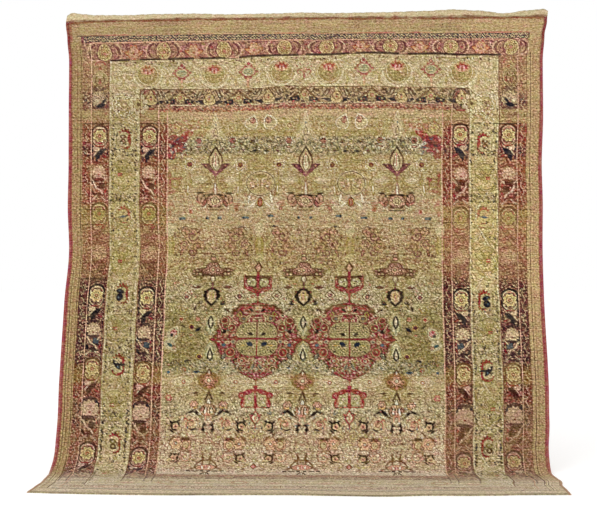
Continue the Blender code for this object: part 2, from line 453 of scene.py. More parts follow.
# The weaver's lines slant: how far each place in the upper borders has slipped down the cloth
SLANT_TABLE = [
    # across, slip beside the outer and the inner small border, in millimetres
    (-1.83, 44, 12), (-1.53, 42, 13), (-1.30, 37, 14), (-1.06, 30, 17), (-0.60, 30, 17), (-0.37, 12, 8),
    (-0.14, 6, -8), (0.09, 2, -6), (0.32, -4, -4), (0.56, -9, -9), (0.79, -6, -2), (1.02, -2, 6),
    (1.25, 6, 9), (1.48, 9, 9), (1.83, 10, 9),
]
lower_share = ease((grid_along - 0.33) / 0.25)
slip = np.outer(ease((grid_along - 0.18) / 0.13) * (1.0 - lower_share),
                from_table(SLANT_TABLE, 1, grid_across))
slip += np.outer(lower_share * (1.0 - ease((grid_along - 0.76) / 0.30)),
                 from_table(SLANT_TABLE, 2, grid_across))

# No two knots are quite alike, so the drawing wanders by 2 mm or so
X = np.broadcast_to(grid_across, (PILE_ROWS + 1, PILE_COLUMNS + 1)) + 0.0016 * drift(8, 0.10, 0.5, 1)
Q = np.broadcast_to(grid_along[:, None], X.shape) - slip + 0.0022 * drift(8, 0.15, 0.7, 2)

dye = np.empty(X.shape + (3,))
line_dye = np.zeros(X.shape + (3,))
line_gap = np.full(X.shape, REACH)
speckle = np.interp(Q, (0.80, 1.00), (1.0, 1.15))


def window(x, q, reach_x, reach_q):
    """The slices of the grid within a reach of a place."""
    left = int(np.clip((x - reach_x + pile_side) / CELL, 0, PILE_COLUMNS + 1))
    right = int(np.clip((x + reach_x + pile_side) / CELL + 2, 0, PILE_COLUMNS + 1))
    step = (LENGTH - PILE_TOP) / PILE_ROWS
    slant = 0.045 if q - reach_q < 1.0 else 0.0
    top = int(np.clip((q - reach_q - 0.3 * slant - PILE_TOP) / step, 0, PILE_ROWS + 1))
    bottom = int(np.clip((q + reach_q + slant - PILE_TOP) / step + 2, 0, PILE_ROWS + 1))
    return slice(top, bottom), slice(left, right)


def colour_of(name, palette=None):
    """A dye by its role in a palette, by name, by hundredths with slashes, or as given."""
    if not isinstance(name, str):
        return np.asarray(name)
    if "/" in name:
        return np.array(name.split("/"), dtype=float) / 100.0
    return palette[name] if palette is not None and name in palette else DYES[name]


def lay(part, gap, colour, share=1.0):
    """Fills a shape, given its signed distance, and clears the outlines it covers."""
    cover = np.clip(0.5 - gap / CELL, 0.0, 1.0) * share
    tint(dye[part], colour, cover)
    if share > 0.6:
        line_gap[part] = np.maximum(line_gap[part], -gap)


def outline(part, gap, width, colour):
    """Draws a line of a width along a shape's edge, where it is nearer than older lines."""
    near = np.abs(gap) - 0.5 * width
    closer = (near < line_gap[part]) & (near < REACH)
    line_gap[part] = np.where(closer, near, line_gap[part])
    line_dye[part] = np.where(closer[..., None], colour, line_dye[part])


def disc(x, y, a, b):
    """Ellipse of half-axes a and b."""
    return (np.hypot(x / a, y / b) - 1.0) * min(a, b)


def leaf(x, y, a, b):
    """Pointed at both ends: its half-width is a parabola of height b over the half-length a."""
    return (np.abs(y) - b * (1.0 - (x / a) ** 2)) * 0.8


def drop(x, y, a, b):
    """Pointed at -a and round at +a: half-width t times the root of one less t."""
    t = np.clip((x + a) / (2.0 * a), 0.0, 1.0)
    return np.maximum(np.abs(y) - 2.6 * b * t * np.sqrt(1.0 - t), np.abs(x) - a)


def spade(x, y, a, b):
    """Ogee point at -a and full below: half-width t to the 1.6 times the root of one less t."""
    t = np.clip((x + a) / (2.0 * a), 0.0, 1.0)
    return np.maximum(np.abs(y) - 3.1 * b * t ** 1.6 * np.sqrt(1.0 - t), np.abs(x) - a)


def diamond(x, y, a, b):
    """Lozenge of half-diagonals a and b."""
    return (np.abs(x) / a + np.abs(y) / b - 1.0) * a * b / math.hypot(a, b)


def box(x, y, a, b):
    """Rectangle of half-sides a and b."""
    return np.maximum(np.abs(x) - a, np.abs(y) - b)


def pad(x, y, a, b):
    """Rectangle of half-sides a and b with corners of radius 38."""
    return np.hypot(np.maximum(np.abs(x) - a + 38.0, 0.0), np.maximum(np.abs(y) - b + 38.0, 0.0)) - 38.0


def quarter(x, y, a, b):
    """Rectangle of half-sides a and b, cut to a quarter of a full oval round its corner at (-a, b).

    The corners away from the middle are rounded as well.
    """
    oval = (np.abs(x + a) / (2.0 * a)) ** 3 + (np.abs(y - b) / abs(2.0 * b)) ** 3
    rounded = np.where(x > 0.0, pad(x, y, a, abs(b)), box(x, y, a, abs(b)))
    return np.maximum(rounded, 1.7 * abs(b) * (oval ** (1.0 / 3.0) - 1.0))


def bar(x, y, a, b):
    """Round-ended bar of half-length a and half-width b."""
    return np.hypot(np.maximum(np.abs(x) - a, 0.0), y) - b


def bloom(x, y, a, b):
    """Flower of b round petals and radius a: the radius swings by a tenth with the angle."""
    return np.hypot(x, y) - a * (0.9 + 0.1 * np.cos(b * np.arctan2(y, x)))


def burst(x, y, a, b):
    """Flower of b pointed petals and radius a."""
    return (np.hypot(x, y) - a * (0.62 + 0.38 * np.abs(np.cos(0.5 * b * np.arctan2(y, x))) ** 0.8)) * 0.8


def hook(x, y, a, b):
    """Scroll: a band of half-width b whose radius opens from 0.35 a to a in one turn."""
    turn = (np.arctan2(y, x) + math.pi) / (2.0 * math.pi)
    return np.abs(np.hypot(x, y) - a * (0.35 + 0.65 * turn)) - b


def arch(x, y, a, b):
    """Upper half of a ring of radius a, with half-width b."""
    return np.maximum(np.abs(np.hypot(x, y) - a) - b, y)


def roof(x, y, a, b):
    """Two slanting bars that meet at the top: half-width a, height b."""
    slope = b / a
    return np.maximum((np.abs(y + 0.5 * b - np.abs(x) * slope)) / math.hypot(1.0, slope) - 5.0, np.abs(x) - a)


SHAPES = (disc, leaf, drop, spade, diamond, box, pad, quarter, bar, bloom, burst, hook, arch, roof)
SHAPES = {shape.__name__: shape for shape in SHAPES}
ROUND = ("bloom", "burst", "hook", "arch")
# The width of an outline and of a pale rim, and how far off a motif is still near, in metres
EDGE_LINE = 0.0055
RIM = 0.0075
NEARBY = 0.10
# The smallest shape, in millimetres, that is measured or gets a rim
SMALLEST = 13

plan = []
around = np.full(X.shape, 0.30)


def rows_of(chart):
    """A motif's rows from its chart, a text whose rows are parted by semicolons or the line's end.

    A row names the shape, its place from the motif's middle, two sizes and a turn unless it is 0, in
    millimetres and degrees, then the dye and the outline's dye. Three numbers with slashes are a
    dye's red, green and blue in hundredths, and a dash leaves the shape unfilled. A chart may also
    be given as the list of its rows.
    """
    if not isinstance(chart, str):
        return chart
    rows = []
    for words in filter(None, (row.split() for row in chart.replace("\n", ";").split(";"))):
        numbers = [float(word) for word in words[1:6] if word.lstrip("-").isdigit()]
        dyes = [None if word == "-" else word for word in words[1 + len(numbers):]]
        rows.append((words[0], *(numbers + [0.0])[:5], *dyes))
    return rows


def work(chart, x, q, sides=(1, -1), upside=1, palette=None, share=1.0, size=1.0, halo=None, step="fill"):
    """Works a motif from its chart at a place, in one of three steps.

    Shapes off the motif's axis are mirrored to both sides, and upside turns the motif over. The
    step "measure" only notes how near each place is to a motif, "halo" lays a pale rim round the
    outlined shapes, and "fill" lays the motif itself.
    """
    for shape, u, v, a, b, turn, fill, *edges in rows_of(chart):
        edge = edges[0] if edges else None
        extent = a if shape in ROUND else max(a, b)
        if step != "fill" and extent < SMALLEST:
            continue
        reach = extent * size * MILLIMETRE + (NEARBY if step == "measure" else 0.016)
        c, s = math.cos(math.radians(turn)), math.sin(math.radians(turn))
        for side in sides if u else sides[:1]:
            place_x, place_q = x + side * u * size * MILLIMETRE, q + upside * v * size * MILLIMETRE
            part = window(place_x, place_q, reach, reach)
            away_x = (X[part] - place_x) * side / (MILLIMETRE * size)
            away_q = (Q[part] - place_q) * upside / (MILLIMETRE * size)
            if away_x.size == 0:
                continue
            gap = SHAPES[shape](away_x * c + away_q * s, away_q * c - away_x * s, a, b) * MILLIMETRE * size
            if step == "measure":
                around[part] = np.minimum(around[part], gap)
            elif step == "halo":
                if edge is not None:
                    lay(part, gap - RIM, colour_of(halo, palette), 0.65)
            else:
                if fill is not None:
                    lay(part, gap, colour_of(fill, palette), share)
                if edge is not None:
                    outline(part, gap, EDGE_LINE, colour_of(edge, palette))


def put(chart, x, q, near=True, **how):
    """Adds a motif to the plan, and notes how near the places round it are to it."""
    plan.append((chart, x, q, how))
    if near:
        work(chart, x, q, **{**how, "step": "measure"})


def middle_and_halves(left, right, top, bottom):
    """A rectangle's middle, across and along, and its half-sides."""
    return 0.5 * (left + right), 0.5 * (top + bottom), 0.5 * (right - left), 0.5 * (bottom - top)


def fill_box(left, right, top, bottom, colour, share=1.0):
    """Fills a rectangle of the design."""
    x, q, half_x, half_q = middle_and_halves(left, right, top, bottom)
    part = window(x, q, half_x + 0.02, half_q + 0.02)
    lay(part, box(X[part] - x, Q[part] - q, half_x, half_q), colour, share)


def rule(left, right, top, bottom, width, colour):
    """A straight line from one place to another, down or across."""
    x, q, half_x, half_q = middle_and_halves(left, right, top, bottom)
    part = window(x, q, half_x + 0.03, half_q + 0.03)
    away_x, away_q = X[part] - x, Q[part] - q
    gap = bar(away_q, away_x, half_q, 0.0) if bottom > top else bar(away_x, away_q, half_x, 0.0)
    outline(part, gap, width, colour)


def stamps(count, x_range, q_range, radius, dyes, seed, share=0.8, mirror=None):
    """Small knots of colour strewn over a stretch, mirrored about an axis if one is given.

    dyes names them in one text, and a dye that is named twice comes up twice as often.
    """
    chance = np.random.default_rng(seed)
    dyes = dyes.split()
    for _ in range(count):
        x, q = chance.uniform(*sorted(x_range)), chance.uniform(*q_range)
        size = radius * chance.uniform(0.6, 1.3) / MILLIMETRE
        name = dyes[chance.integers(len(dyes))]
        turn = chance.uniform(0.0, 180.0)
        long = size * chance.uniform(1.0, 1.9)
        for at in ([x] if mirror is None else [x, 2.0 * mirror - x]):
            knot = ("disc", 0, 0, long, size, turn if at == x else -turn, name)
            put([knot], at, q, near=False, share=share)


def table_colours(table, column):
    """A table's dyes along the length, as an array over the grid's rows."""
    places = [row[0] for row in table]
    values = np.array([DYES[row[column]] if isinstance(row[column], str) else shade_of(*row[column])
                       for row in table])
    return np.stack([np.interp(grid_along, places, values[:, k]) for k in range(3)], axis=-1)


# The plan of nested frames: each one's left, right, upper and lower edges
GUARD = (-1.722, 1.706, 0.163, 4.245)
OUTER = (-1.652, 1.638, 0.213, 4.190)
MAIN = (-1.512, 1.492, 0.325, 4.075)
INNER = (-1.270, 1.268, 0.572, 3.842)
INNER_GUARD = (-1.126, 1.132, 0.697, 3.715)
FIELD = (-1.058, 1.062, 0.747, 3.665)

# Abrash, and painted sheen on the floor: how the borders' dyes change along the length, batch by batch, with
# the last rows, where the cloth lies on the floor, paler and greyer for the light the pile catches at a
# grazing angle
ABRASH_AND_FLOOR_SHEEN = [
    # along, ground of the small borders, their dark, their light, the main border's ground
    (0.20, (134, 84, 78), (88, 50, 58), (192, 150, 120), (192, 170, 126)),
    (0.34, (164, 126, 94), (120, 78, 60), (192, 154, 116), (190, 168, 124)),
    (0.58, (160, 124, 90), (98, 66, 52), (190, 160, 116), (190, 168, 124)),
    (0.66, (132, 92, 74), "navy", (194, 170, 130), (188, 166, 126)),
    (0.73, (132, 88, 72), "plum", (192, 166, 124), (188, 164, 122)),
    (0.75, (168, 140, 98), (140, 110, 74), (186, 160, 114), (186, 162, 112)),
    (0.82, (166, 138, 96), (140, 110, 74), (186, 160, 114), (186, 162, 112)),
    (0.88, (136, 76, 60), (78, 44, 38), (200, 168, 128), (190, 169, 122)),
    (1.00, (136, 66, 54), (82, 42, 40), (200, 166, 130), (188, 167, 120)),
    (1.04, (110, 56, 56), "navy", (202, 170, 134), (194, 172, 124)),
    (1.09, (118, 62, 54), "navy", (200, 166, 130), (188, 166, 116)),
    (1.12, (138, 82, 60), (98, 54, 42), (196, 158, 122), (184, 160, 108)),
    (1.38, (136, 74, 58), (88, 48, 42), (202, 166, 134), (182, 160, 110)),
    (1.45, (140, 78, 62), (92, 52, 46), (196, 158, 124), (180, 158, 106)),
    (1.52, (148, 118, 72), (112, 82, 50), (184, 160, 112), (178, 156, 102)),
    (1.62, (146, 112, 72), (100, 70, 48), (186, 158, 112), (178, 156, 104)),
    (1.70, (150, 104, 76), (110, 66, 50), (190, 152, 114), (176, 152, 100)),
    (1.85, (146, 100, 74), (106, 64, 48), (186, 150, 112), (176, 152, 100)),
    (2.03, (126, 82, 60), (88, 52, 42), (184, 150, 112), (184, 162, 112)),
    (2.09, (90, 44, 46), (40, 28, 34), (194, 168, 124), (180, 160, 112)),
    (2.40, (92, 46, 48), (34, 28, 40), (194, 168, 126), (174, 154, 110)),
    (2.70, (88, 44, 48), (36, 30, 42), (194, 164, 126), (182, 162, 118)),
    (2.77, (130, 96, 58), (104, 70, 44), (188, 164, 112), (188, 168, 120)),
    (2.86, (138, 102, 62), (106, 72, 46), (186, 158, 112), (178, 156, 104)),
    (2.90, (124, 62, 52), (78, 42, 38), (196, 158, 128), (176, 154, 102)),
    (2.99, (122, 60, 50), (74, 44, 38), (196, 156, 126), (176, 152, 100)),
    (3.03, (122, 80, 62), (36, 30, 40), (194, 160, 126), (188, 166, 120)),
    (3.18, (128, 82, 66), (52, 34, 40), (194, 160, 128), (192, 171, 126)),
    (3.24, (140, 90, 66), (86, 56, 40), (194, 160, 126), (192, 169, 124)),
    (3.52, (138, 86, 70), (76, 48, 46), (198, 162, 134), (192, 169, 126)),
    (3.60, (140, 98, 82), (70, 52, 56), (196, 164, 140), (194, 174, 138)),
    # painted sheen: on the floor the small borders' ground and dark turn paler and greyer
    (3.78, (160, 132, 108), (124, 98, 84), (194, 170, 138), (192, 174, 140)),
    (4.40, (170, 148, 118), (134, 108, 88), (192, 170, 136), (192, 174, 140)),
]
ground_rows, dark_rows, light_rows, main_rows = (table_colours(ABRASH_AND_FLOOR_SHEEN, column) for column in (1, 2, 3, 4))


def border_palette(along):
    """The small borders' palette at a distance along."""
    row = int(np.clip((along - PILE_TOP) / (LENGTH - PILE_TOP) * PILE_ROWS, 0, PILE_ROWS))
    ground, dark, light = ground_rows[row], dark_rows[row], light_rows[row]
    return {"ground": ground, "dark": dark, "light": light, "middle": 0.5 * (ground + light),
            "soft": 0.5 * (ground + dark), "heart": 0.45 * ground + 0.55 * DYES["red"],
            "fan": 0.40 * ground + 0.30 * light + 0.30 * DYES["straw"]}


def frame_fill(frame_box, colours):
    """Fills the inside of a frame with colours that change along the length."""
    x, q, half_x, half_q = middle_and_halves(*frame_box)
    tint(dye, colours, np.clip(0.5 - box(X - x, Q - q, half_x, half_q) / CELL, 0.0, 1.0))


def frame_lines(frame_box, width, upright, level_width, level, bottom_level):
    """Draws a frame's edge lines: the two uprights, the upper line and the lower line."""
    left, right, top, bottom = frame_box
    rule(left, left, top, bottom, width, colour_of(upright))
    rule(right, right, top, bottom, width, colour_of(upright))
    rule(left, right, top, top, level_width, colour_of(level))
    rule(left, right, bottom, bottom, level_width, colour_of(bottom_level))


dye[:] = DYES["tan"]
for frame_box in (GUARD, OUTER, MAIN, INNER, INNER_GUARD):
    frame_fill(frame_box, (main_rows if frame_box is MAIN else ground_rows)[:, None, :])
frame_fill(FIELD, DYES["sand"])

fill_box(-1.83, -1.722, 0.20, 4.30, shade_of(164, 134, 94))
fill_box(-1.85, -1.786, 0.03, 0.20, shade_of(150, 76, 64), 0.6)
fill_box(-1.72, -1.650, 0.213, 0.345, shade_of(168, 130, 100), 0.9)
fill_box(1.706, 1.83, 0.20, 4.30, shade_of(172, 142, 102))

# The start of the pile: a dark red-brown line, then the plain tan band
start_wave = 0.004 * drift(5, 0.15, 0.9, 11) + 0.0015 * drift(6, 0.03, 0.08, 12)
start_cover = np.clip(0.5 - (Q - PILE_TOP - 0.013 + start_wave) / CELL, 0.0, 1.0)
tint(dye, shade_of(134, 84, 56), 0.9 * start_cover)
for place, shade, share in ((0.075, "salmon", 0.25), (0.10, "gold", 0.2), (0.13, "olive", 0.25)):
    fill_box(-1.80, 1.80, place - 0.008, place + 0.008, colour_of(shade), share)
rule(-1.70, 1.70, 0.156, 0.156, 0.004, colour_of("rose"))
rule(-1.75, -1.53, 0.158, 0.158, 0.007, colour_of("dark"))

# The outer guard: a zigzag in slate and cream across the ends, and a vine up the sides
ZIGZAG = 0.024
for top in (0.163, 4.203):
    part = window(0.0, top + 0.021, 1.73, 0.03)
    x, q = X[part], Q[part]
    tooth = np.abs((x / ZIGZAG) % 1.0 - 0.5) * 2.0
    fold = np.abs(((q - top) / 0.020 + 0.7 * tooth) % 1.0 - 0.5) * 2.0
    in_guard = (q > top) & (q < top + 0.042) & (x > -1.70) & (x < 1.715)
    patchy = 0.5 + 0.5 * np.sin(x * 37.0) * np.cos(x * 11.0 + q * 90.0)
    slate = DYES["slate"] * (0.50 + 0.45 * (tooth * patchy)[..., None])
    shade = np.where(fold[..., None] > 0.70, DYES["ivory"] * 0.88, slate)
    tint(dye[part], shade, 0.88 * in_guard)
rule(-1.64, 1.63, 0.209, 0.209, 0.004, colour_of("pale_pink"))
for frame_box in (GUARD, INNER_GUARD):
    for side, across in ((-1, frame_box[0]), (1, frame_box[1])):
        middle = across + 0.034 * -side
        top, bottom = (0.22, 4.19) if frame_box is GUARD else (0.76, 3.66)
        part = window(middle, 0.5 * (top + bottom), 0.03, 0.5 * (bottom - top))
        x, q = X[part], Q[part]
        swing = middle + 0.011 * np.sin(2.0 * math.pi * q / 0.105 + side)
        shades = light_rows[part[0]][:, None, :]
        outline(part, (x - swing) * 0.85, 0.005, shades)
        for step, q_at in enumerate(np.arange(top + 0.02, bottom, 0.0525)):
            palette = border_palette(q_at)
            lean = 1 if step % 2 else -1
            outer, heart = ("middle", "heart") if step % 4 else ("dark", "light")
            put(f"disc 0 0 9 8 {outer}; disc 0 0 4 4 {heart}", middle + lean * 0.010, q_at, palette=palette)
            put(f"leaf 0 0 14 5 {60 * lean} dark", middle - lean * 0.012, q_at + 0.018, palette=palette,
                share=0.8)

# The small borders: gold rosettes between capped arches, with palmettes, leaves and stems between
ROSETTE = """
    arch 0 -26 60 8 dark; arch 0 -24 48 5 light; arch 0 -24 40 5 heart; bar 0 -64 24 4 light
    bar 58 -8 24 4 86 dark; arch 0 24 60 6 180 dark; arch 0 26 50 4 180 light; bar 0 82 31 6 heart
    bloom 0 0 57 8 22 rim dark; bloom 0 0 47 8 22 petal; bloom 0 0 28 8 22 rim soft
    disc 0 0 20 20 petal; burst 0 0 16 8 heart; disc 0 0 4 4 rim
"""
PALMETTE = """
    leaf 0 -54 44 13 soft; bloom 0 4 58 11 fan soft; burst 0 12 54 13 light; disc 0 22 36 26 fan
    burst 0 24 32 9 light; disc 0 28 8 6 heart; leaf 0 60 42 11 soft; bar 50 66 24 4 -50 light
"""
# What lies between a rosette and the palmette below it, which isn't mirrored
LEAVES = """
    bar -50 64 28 5 60 light; leaf -60 88 24 9 64 dark; leaf 38 80 34 11 -58 light heart
    disc -28 104 30 20 light; disc -56 116 8 12 dark; bar -34 140 34 5 -50 light
    leaf 4 131 54 18 -38 dark; disc -16 168 18 18 dark; leaf -24 192 15 7 70 dark
    leaf 40 164 24 9 30 heart; disc 48 186 12 8 middle; disc -54 176 9 18 soft
"""
# What lies between a palmette and the rosette below it
LOWER_LEAVES = """
    box -8 -272 36 19 -8 cool; bar -42 -240 40 7 60 light; box 16 -220 23 22 10 cool
    disc -58 -262 9 24 dark; leaf 46 -250 26 8 76 heart; disc 38 -276 12 9 light
    bar -6 -196 30 5 30 light; leaf 48 -180 24 8 -64 heart; leaf -48 -170 26 9 64 dark
    disc 0 -150 30 18 soft; leaf 22 -168 26 7 50 light; bar -36 -128 24 4 -40 light
    bar 34 -122 24 4 40 light
"""
ROSETTES = {
    # for each of the four upright small borders: which way it turns, across of the middle, places along
    "outer_left": (1, -1.585, (0.39, 0.945, 1.55, 2.192, 2.770, 3.415, 4.02)),
    "inner_left": (1, -1.198, (0.64, 0.945, 1.55, 2.208, 2.800, 3.450)),
    "inner_right": (-1, 1.200, (0.66, 0.935, 1.580, 2.220, 2.800, 3.480)),
    "outer_right": (-1, 1.568, (0.41, 0.935, 1.580, 2.220, 2.800, 3.465, 4.02)),
}
for side, middle, places in ROSETTES.values():
    for first, second in zip(places, places[1:] + (places[-1] + 0.6,)):
        half = 0.5 * (first + second)
        if second - first > 0.5:
            worn_away = 0.35 if 1.5 < first < 1.6 or first < 0.7 else 1.0
            put(LEAVES, middle, first, sides=(side,), palette=border_palette(first + 0.14), share=worn_away)
            palette = border_palette(second - 0.20)
            strong = 2.2 < half < 2.75
            palette["cool"] = 0.35 * palette["dark"] + 0.65 * DYES["slate"] if strong else palette["dark"]
            put(LOWER_LEAVES, middle, second, sides=(side,), palette=palette, share=worn_away)
            palette = border_palette(half)
            tall = 1.25 if worn_away < 1.0 or half > 2.9 else 1.0
            if half > 2.9:
                palette["fan"] = 0.5 * DYES["tan"] + 0.5 * palette["light"]
                put("arch 0 -16 60 9 navy; burst 0 -52 30 9 navy; leaf 0 84 30 14 umber",
                    middle - 0.006 * side, half - 0.028, palette=palette)
            put(PALMETTE, middle - 0.006 * side, half - 0.028, palette=palette, size=tall,
                share=0.6 if worn_away < 1.0 else 1.0)
        palette = border_palette(first)
        plain = 1.5 < first < 1.6
        palette["petal"] = shade_of(188, 162, 106) if not plain else DYES["olive"]
        palette["rim"] = shade_of(201, 178, 126) if not plain else 0.5 * DYES["olive"] + 0.5 * DYES["sand"]
        if first < 0.7:
            for role in ("petal", "rim", "dark", "light"):
                palette[role] = 0.35 * palette[role] + 0.65 * palette["ground"]
        put(ROSETTE, middle, first, palette=palette)

# The upper and lower small borders, with their own spacing
TOP_ROSETTES = (-1.545, -1.088, -0.620, -0.152, 0.172, 0.659, 1.120, 1.579)
TOP_ROSETTE = """
    arch 62 0 40 4 90 salmon; arch 72 0 44 5 90 plum; arch 86 0 50 5 90 pale_pink
    bar 56 50 34 4 pale_pink; disc 0 0 62 60 plum; disc 0 0 56 54 rim; bloom 0 0 46 12 gold bark
    bloom 0 0 30 12 rim rust; disc 0 0 22 22 gold; disc 0 0 14 14 salmon rust; disc 0 0 5 5 red
"""
TOP_PALMETTE = """
    bloom 0 4 48 7 90 fan brick; leaf 42 8 32 13 -24 fan brick; burst 0 6 42 9 90 salmon
    leaf 20 -8 22 5 -50 pale_pink; leaf 22 18 22 5 20 pale_pink; leaf 0 -20 5 18 pale_pink
    disc 0 10 10 9 brick; hook 88 -22 17 4 40 pink; hook 84 26 15 4 200 salmon
"""
top_palette = {"rim": shade_of(200, 172, 120), "gold": shade_of(186, 158, 106), "fan": shade_of(192, 142, 98)}
for top, upside in ((0.266, 1), (4.135, -1)):
    fill_box(-1.63, 1.60, top - 0.050, top + 0.052, shade_of(148, 98, 86), 0.92)
    for x in (-1.320, -0.854, -0.387, 0.43, 0.886, 1.35):
        put(TOP_PALMETTE, x, top, upside=upside, palette=top_palette)
    for x in TOP_ROSETTES:
        put(TOP_ROSETTE, x, top, upside=upside, palette=top_palette)
stamps(200, (-1.60, 1.58), (0.215, 0.31), 0.0055, "crimson plum pink salmon plum olive", 21, 0.7)
stamps(150, (-1.60, 1.58), (4.10, 4.18), 0.0055, "plum rose salmon", 22, 0.5)

# The main border across the ends: olive fan palmettes and rose-petalled flowers on ivory
TOP_FAN = """
    arch 0 2 112 8 180 ivory; disc 0 6 96 88 haze; disc 0 4 82 82 petal ivory
    bloom 0 4 66 11 90 haze vein; disc 0 -36 60 40 blush; arch 0 -22 30 9 red
    leaf 32 -40 26 7 -30 brick; leaf 14 -62 22 6 -80 brick; bar 15 -24 15 6 90 pink; bar 0 -38 15 4 pink
    bar 0 -18 16 5 90 red; disc 0 26 22 18 petal vein
"""
TOP_FLOWER = """
    bar 0 84 34 10 90 blush; disc 62 0 16 11 rose_brown; bloom 0 0 64 8 22 rose_brown straw
    disc 0 0 50 37 ivory rose_brown; disc 0 0 38 25 grey_green straw; bar 0 -6 22 3 sand
    bar 0 8 22 3 sand; bloom 0 -62 20 5 rose_brown ivory; leaf 44 56 26 8 -40 straw ivory
"""
TOP_SPRIG = """
    hook 34 10 30 6 20 curl; bloom 0 0 26 6 sand curl; leaf 0 48 12 30 curl
    leaf 30 44 30 8 50 sand ivory; leaf 30 -46 32 8 -50 curl ivory; disc 58 -30 14 11 curl ivory
"""
fan_palette = {"haze": (0.68, 0.59, 0.40), "petal": (0.63, 0.54, 0.35), "vein": (0.53, 0.44, 0.25),
               "blush": (0.76, 0.60, 0.44), "rose_brown": (0.62, 0.38, 0.32), "curl": (0.67, 0.58, 0.37)}
fan_palette = {name: np.array(value) for name, value in fan_palette.items()}
for middle_q, upside in ((0.440, 1), (3.960, -1)):
    part = window(0.0, middle_q, 1.46, 0.13)
    swing = 0.075 * np.sin(2.0 * math.pi * (X[part] + 0.09) / 0.47)
    within = np.where(np.abs(X[part]) < 1.44, 0.0, REACH)
    outline(part, np.abs((Q[part] - middle_q - swing) * 0.75) - 0.010 + within, 0.005, DYES["straw"])
    lay(part, np.abs((Q[part] - middle_q - swing) * 0.75) - 0.008 + within, DYES["cream"], 0.55)
    for x in (-1.40, -1.06, -0.79, -0.53, -0.28, 0.10, 0.33, 0.58, 0.84, 1.09, 1.34):
        put(TOP_SPRIG, x, middle_q + 0.03 * upside, upside=upside, share=0.75, palette=fan_palette)
    for x in (-1.215, -0.695, -0.175, 0.186, 0.714, 1.21):
        put(TOP_FAN, x, middle_q + 0.008 * upside, upside=upside, share=0.92, palette=fan_palette)
    for x in (-0.950, -0.432, 0.46, 0.975):
        put(TOP_FLOWER, x, middle_q - 0.002 * upside, upside=upside, palette=fan_palette)
    put(TOP_SPRIG, 0.0, middle_q, upside=upside,
        palette={"sand": DYES["salmon"], "curl": fan_palette["rose_brown"]}, share=0.8)
stamps(420, (-1.42, 1.42), (0.335, 0.56), 0.0055, "straw cream olive olive salmon ivory", 31, 0.6)
stamps(120, (-1.45, 1.45), (0.335, 0.365), 0.005, "dark plum moss", 32, 0.8)

# The main border up the sides: flowers with a dark heart, whose red spikes stand above and to one
# side of a worn middle, and large olive palmettes
SPIKED = """
    burst 6 -34 52 11 8 spike; disc -2 -14 40 40 bare; burst 16 50 38 9 spike; disc 2 34 38 34 bare
    leaf 42 6 44 11 82 spike; disc -50 10 16 60 bare; bar -60 12 42 3 88 thread
    bar 40 -60 22 3 30 thread
"""
HEARTS = [
    # the middles of the flowers, from the top down
    "disc -8 -14 24 16 brown; disc -12 -16 9 7 ivory; disc -10 24 22 22 10 bark; "
    "disc -6 22 9 8 salmon; disc -20 34 7 6 ivory; leaf 34 8 36 9 80 brick",
    "disc 8 30 50 46 bare; diamond -4 0 38 10 -8 30/32/34; diamond -4 0 12 3 -8 slate; "
    "leaf 0 46 34 4 4 spike; leaf -30 30 20 6 60 thread",
    "disc -14 -20 28 20 10 navy; disc 6 -14 14 12 navy; disc -14 28 27 32 16 navy; "
    "disc -18 -22 6 4 slate; disc -22 30 5 8 slate; disc 44 4 8 30 spike",
    "leaf -8 6 52 18 52 navy; leaf 30 4 40 10 4 navy; disc -14 -14 9 6 ivory; disc 2 22 7 9 slate; "
    "leaf 26 -44 30 8 30 spike; arch 0 44 40 6 180 spike",
    "disc -8 -12 26 18 moss; disc -8 26 24 24 bark; disc -8 -12 10 7 ivory; disc -6 26 9 9 sand; "
    "leaf 22 6 24 5 70 brown",
]
LARGE_PALMETTE = """
    disc 0 0 92 110 ivory; disc 0 0 84 100 haze vein; burst -2 2 82 15 ivory; bloom -2 2 60 9 petal vein
    burst -2 4 54 12 20 ivory; bloom -2 6 38 9 20 haze vein; drop -2 -6 60 24 270 petal vein
    leaf 26 -34 38 8 -62 haze vein; leaf -30 -34 38 8 -118 haze vein; leaf 52 4 34 8 -38 petal vein
    box -16 12 17 13 red; box -16 12 19 3 ivory; leaf 62 78 46 18 -46 petal ivory
    leaf 74 64 30 4 -46 ivory; leaf 36 116 34 12 -36 haze vein; leaf -56 92 34 10 50 haze vein
"""
MAIN_LEFT, MAIN_RIGHT = -1.395, 1.382
main_flowers = {MAIN_LEFT: (0.965, 1.570, 2.175, 2.730, 3.330),
                MAIN_RIGHT: (1.000, 1.570, 2.220, 2.765, 3.345)}
main_palmettes = {MAIN_LEFT: (1.235, 1.905, 2.440, 3.030, 3.640),
                  MAIN_RIGHT: (1.260, 1.895, 2.465, 3.050, 3.640)}
MAIN_DOTS = [
    # from, to, how many dark dots in each upright of the main border
    (0.85, 0.93, 24), (0.93, 1.05, 22), (1.05, 1.10, 52), (1.12, 1.36, 14), (1.39, 1.46, 54),
    (1.50, 1.62, 12), (1.66, 2.05, 14), (2.08, 2.28, 26), (2.28, 2.34, 34), (2.34, 2.52, 24),
    (2.54, 2.64, 52), (2.64, 2.80, 36), (2.82, 3.06, 16), (3.08, 3.27, 90), (3.27, 3.52, 44),
    (3.56, 3.84, 30),
]
for left, right in ((-1.50, -1.36), (-1.27, -1.12), (-1.05, -0.86), (-0.80, -0.62), (-0.50, -0.05),
                    (0.02, 0.34), (0.40, 0.72), (0.80, 1.5)):
    put(f"bar 0 0 {round(500 * (right - left))} 8 25/18/18", 0.5 * (left + right), 0.320, near=False)
for x, q in ((1.578, 0.694), (1.222, 0.698)):
    for side in (-1, 1):
        put("leaf 0 4 40 17 -12 navy; leaf 24 -28 30 11 -50 navy; leaf -30 -30 24 9 40 ivory",
            side * x, q, sides=(-side,))
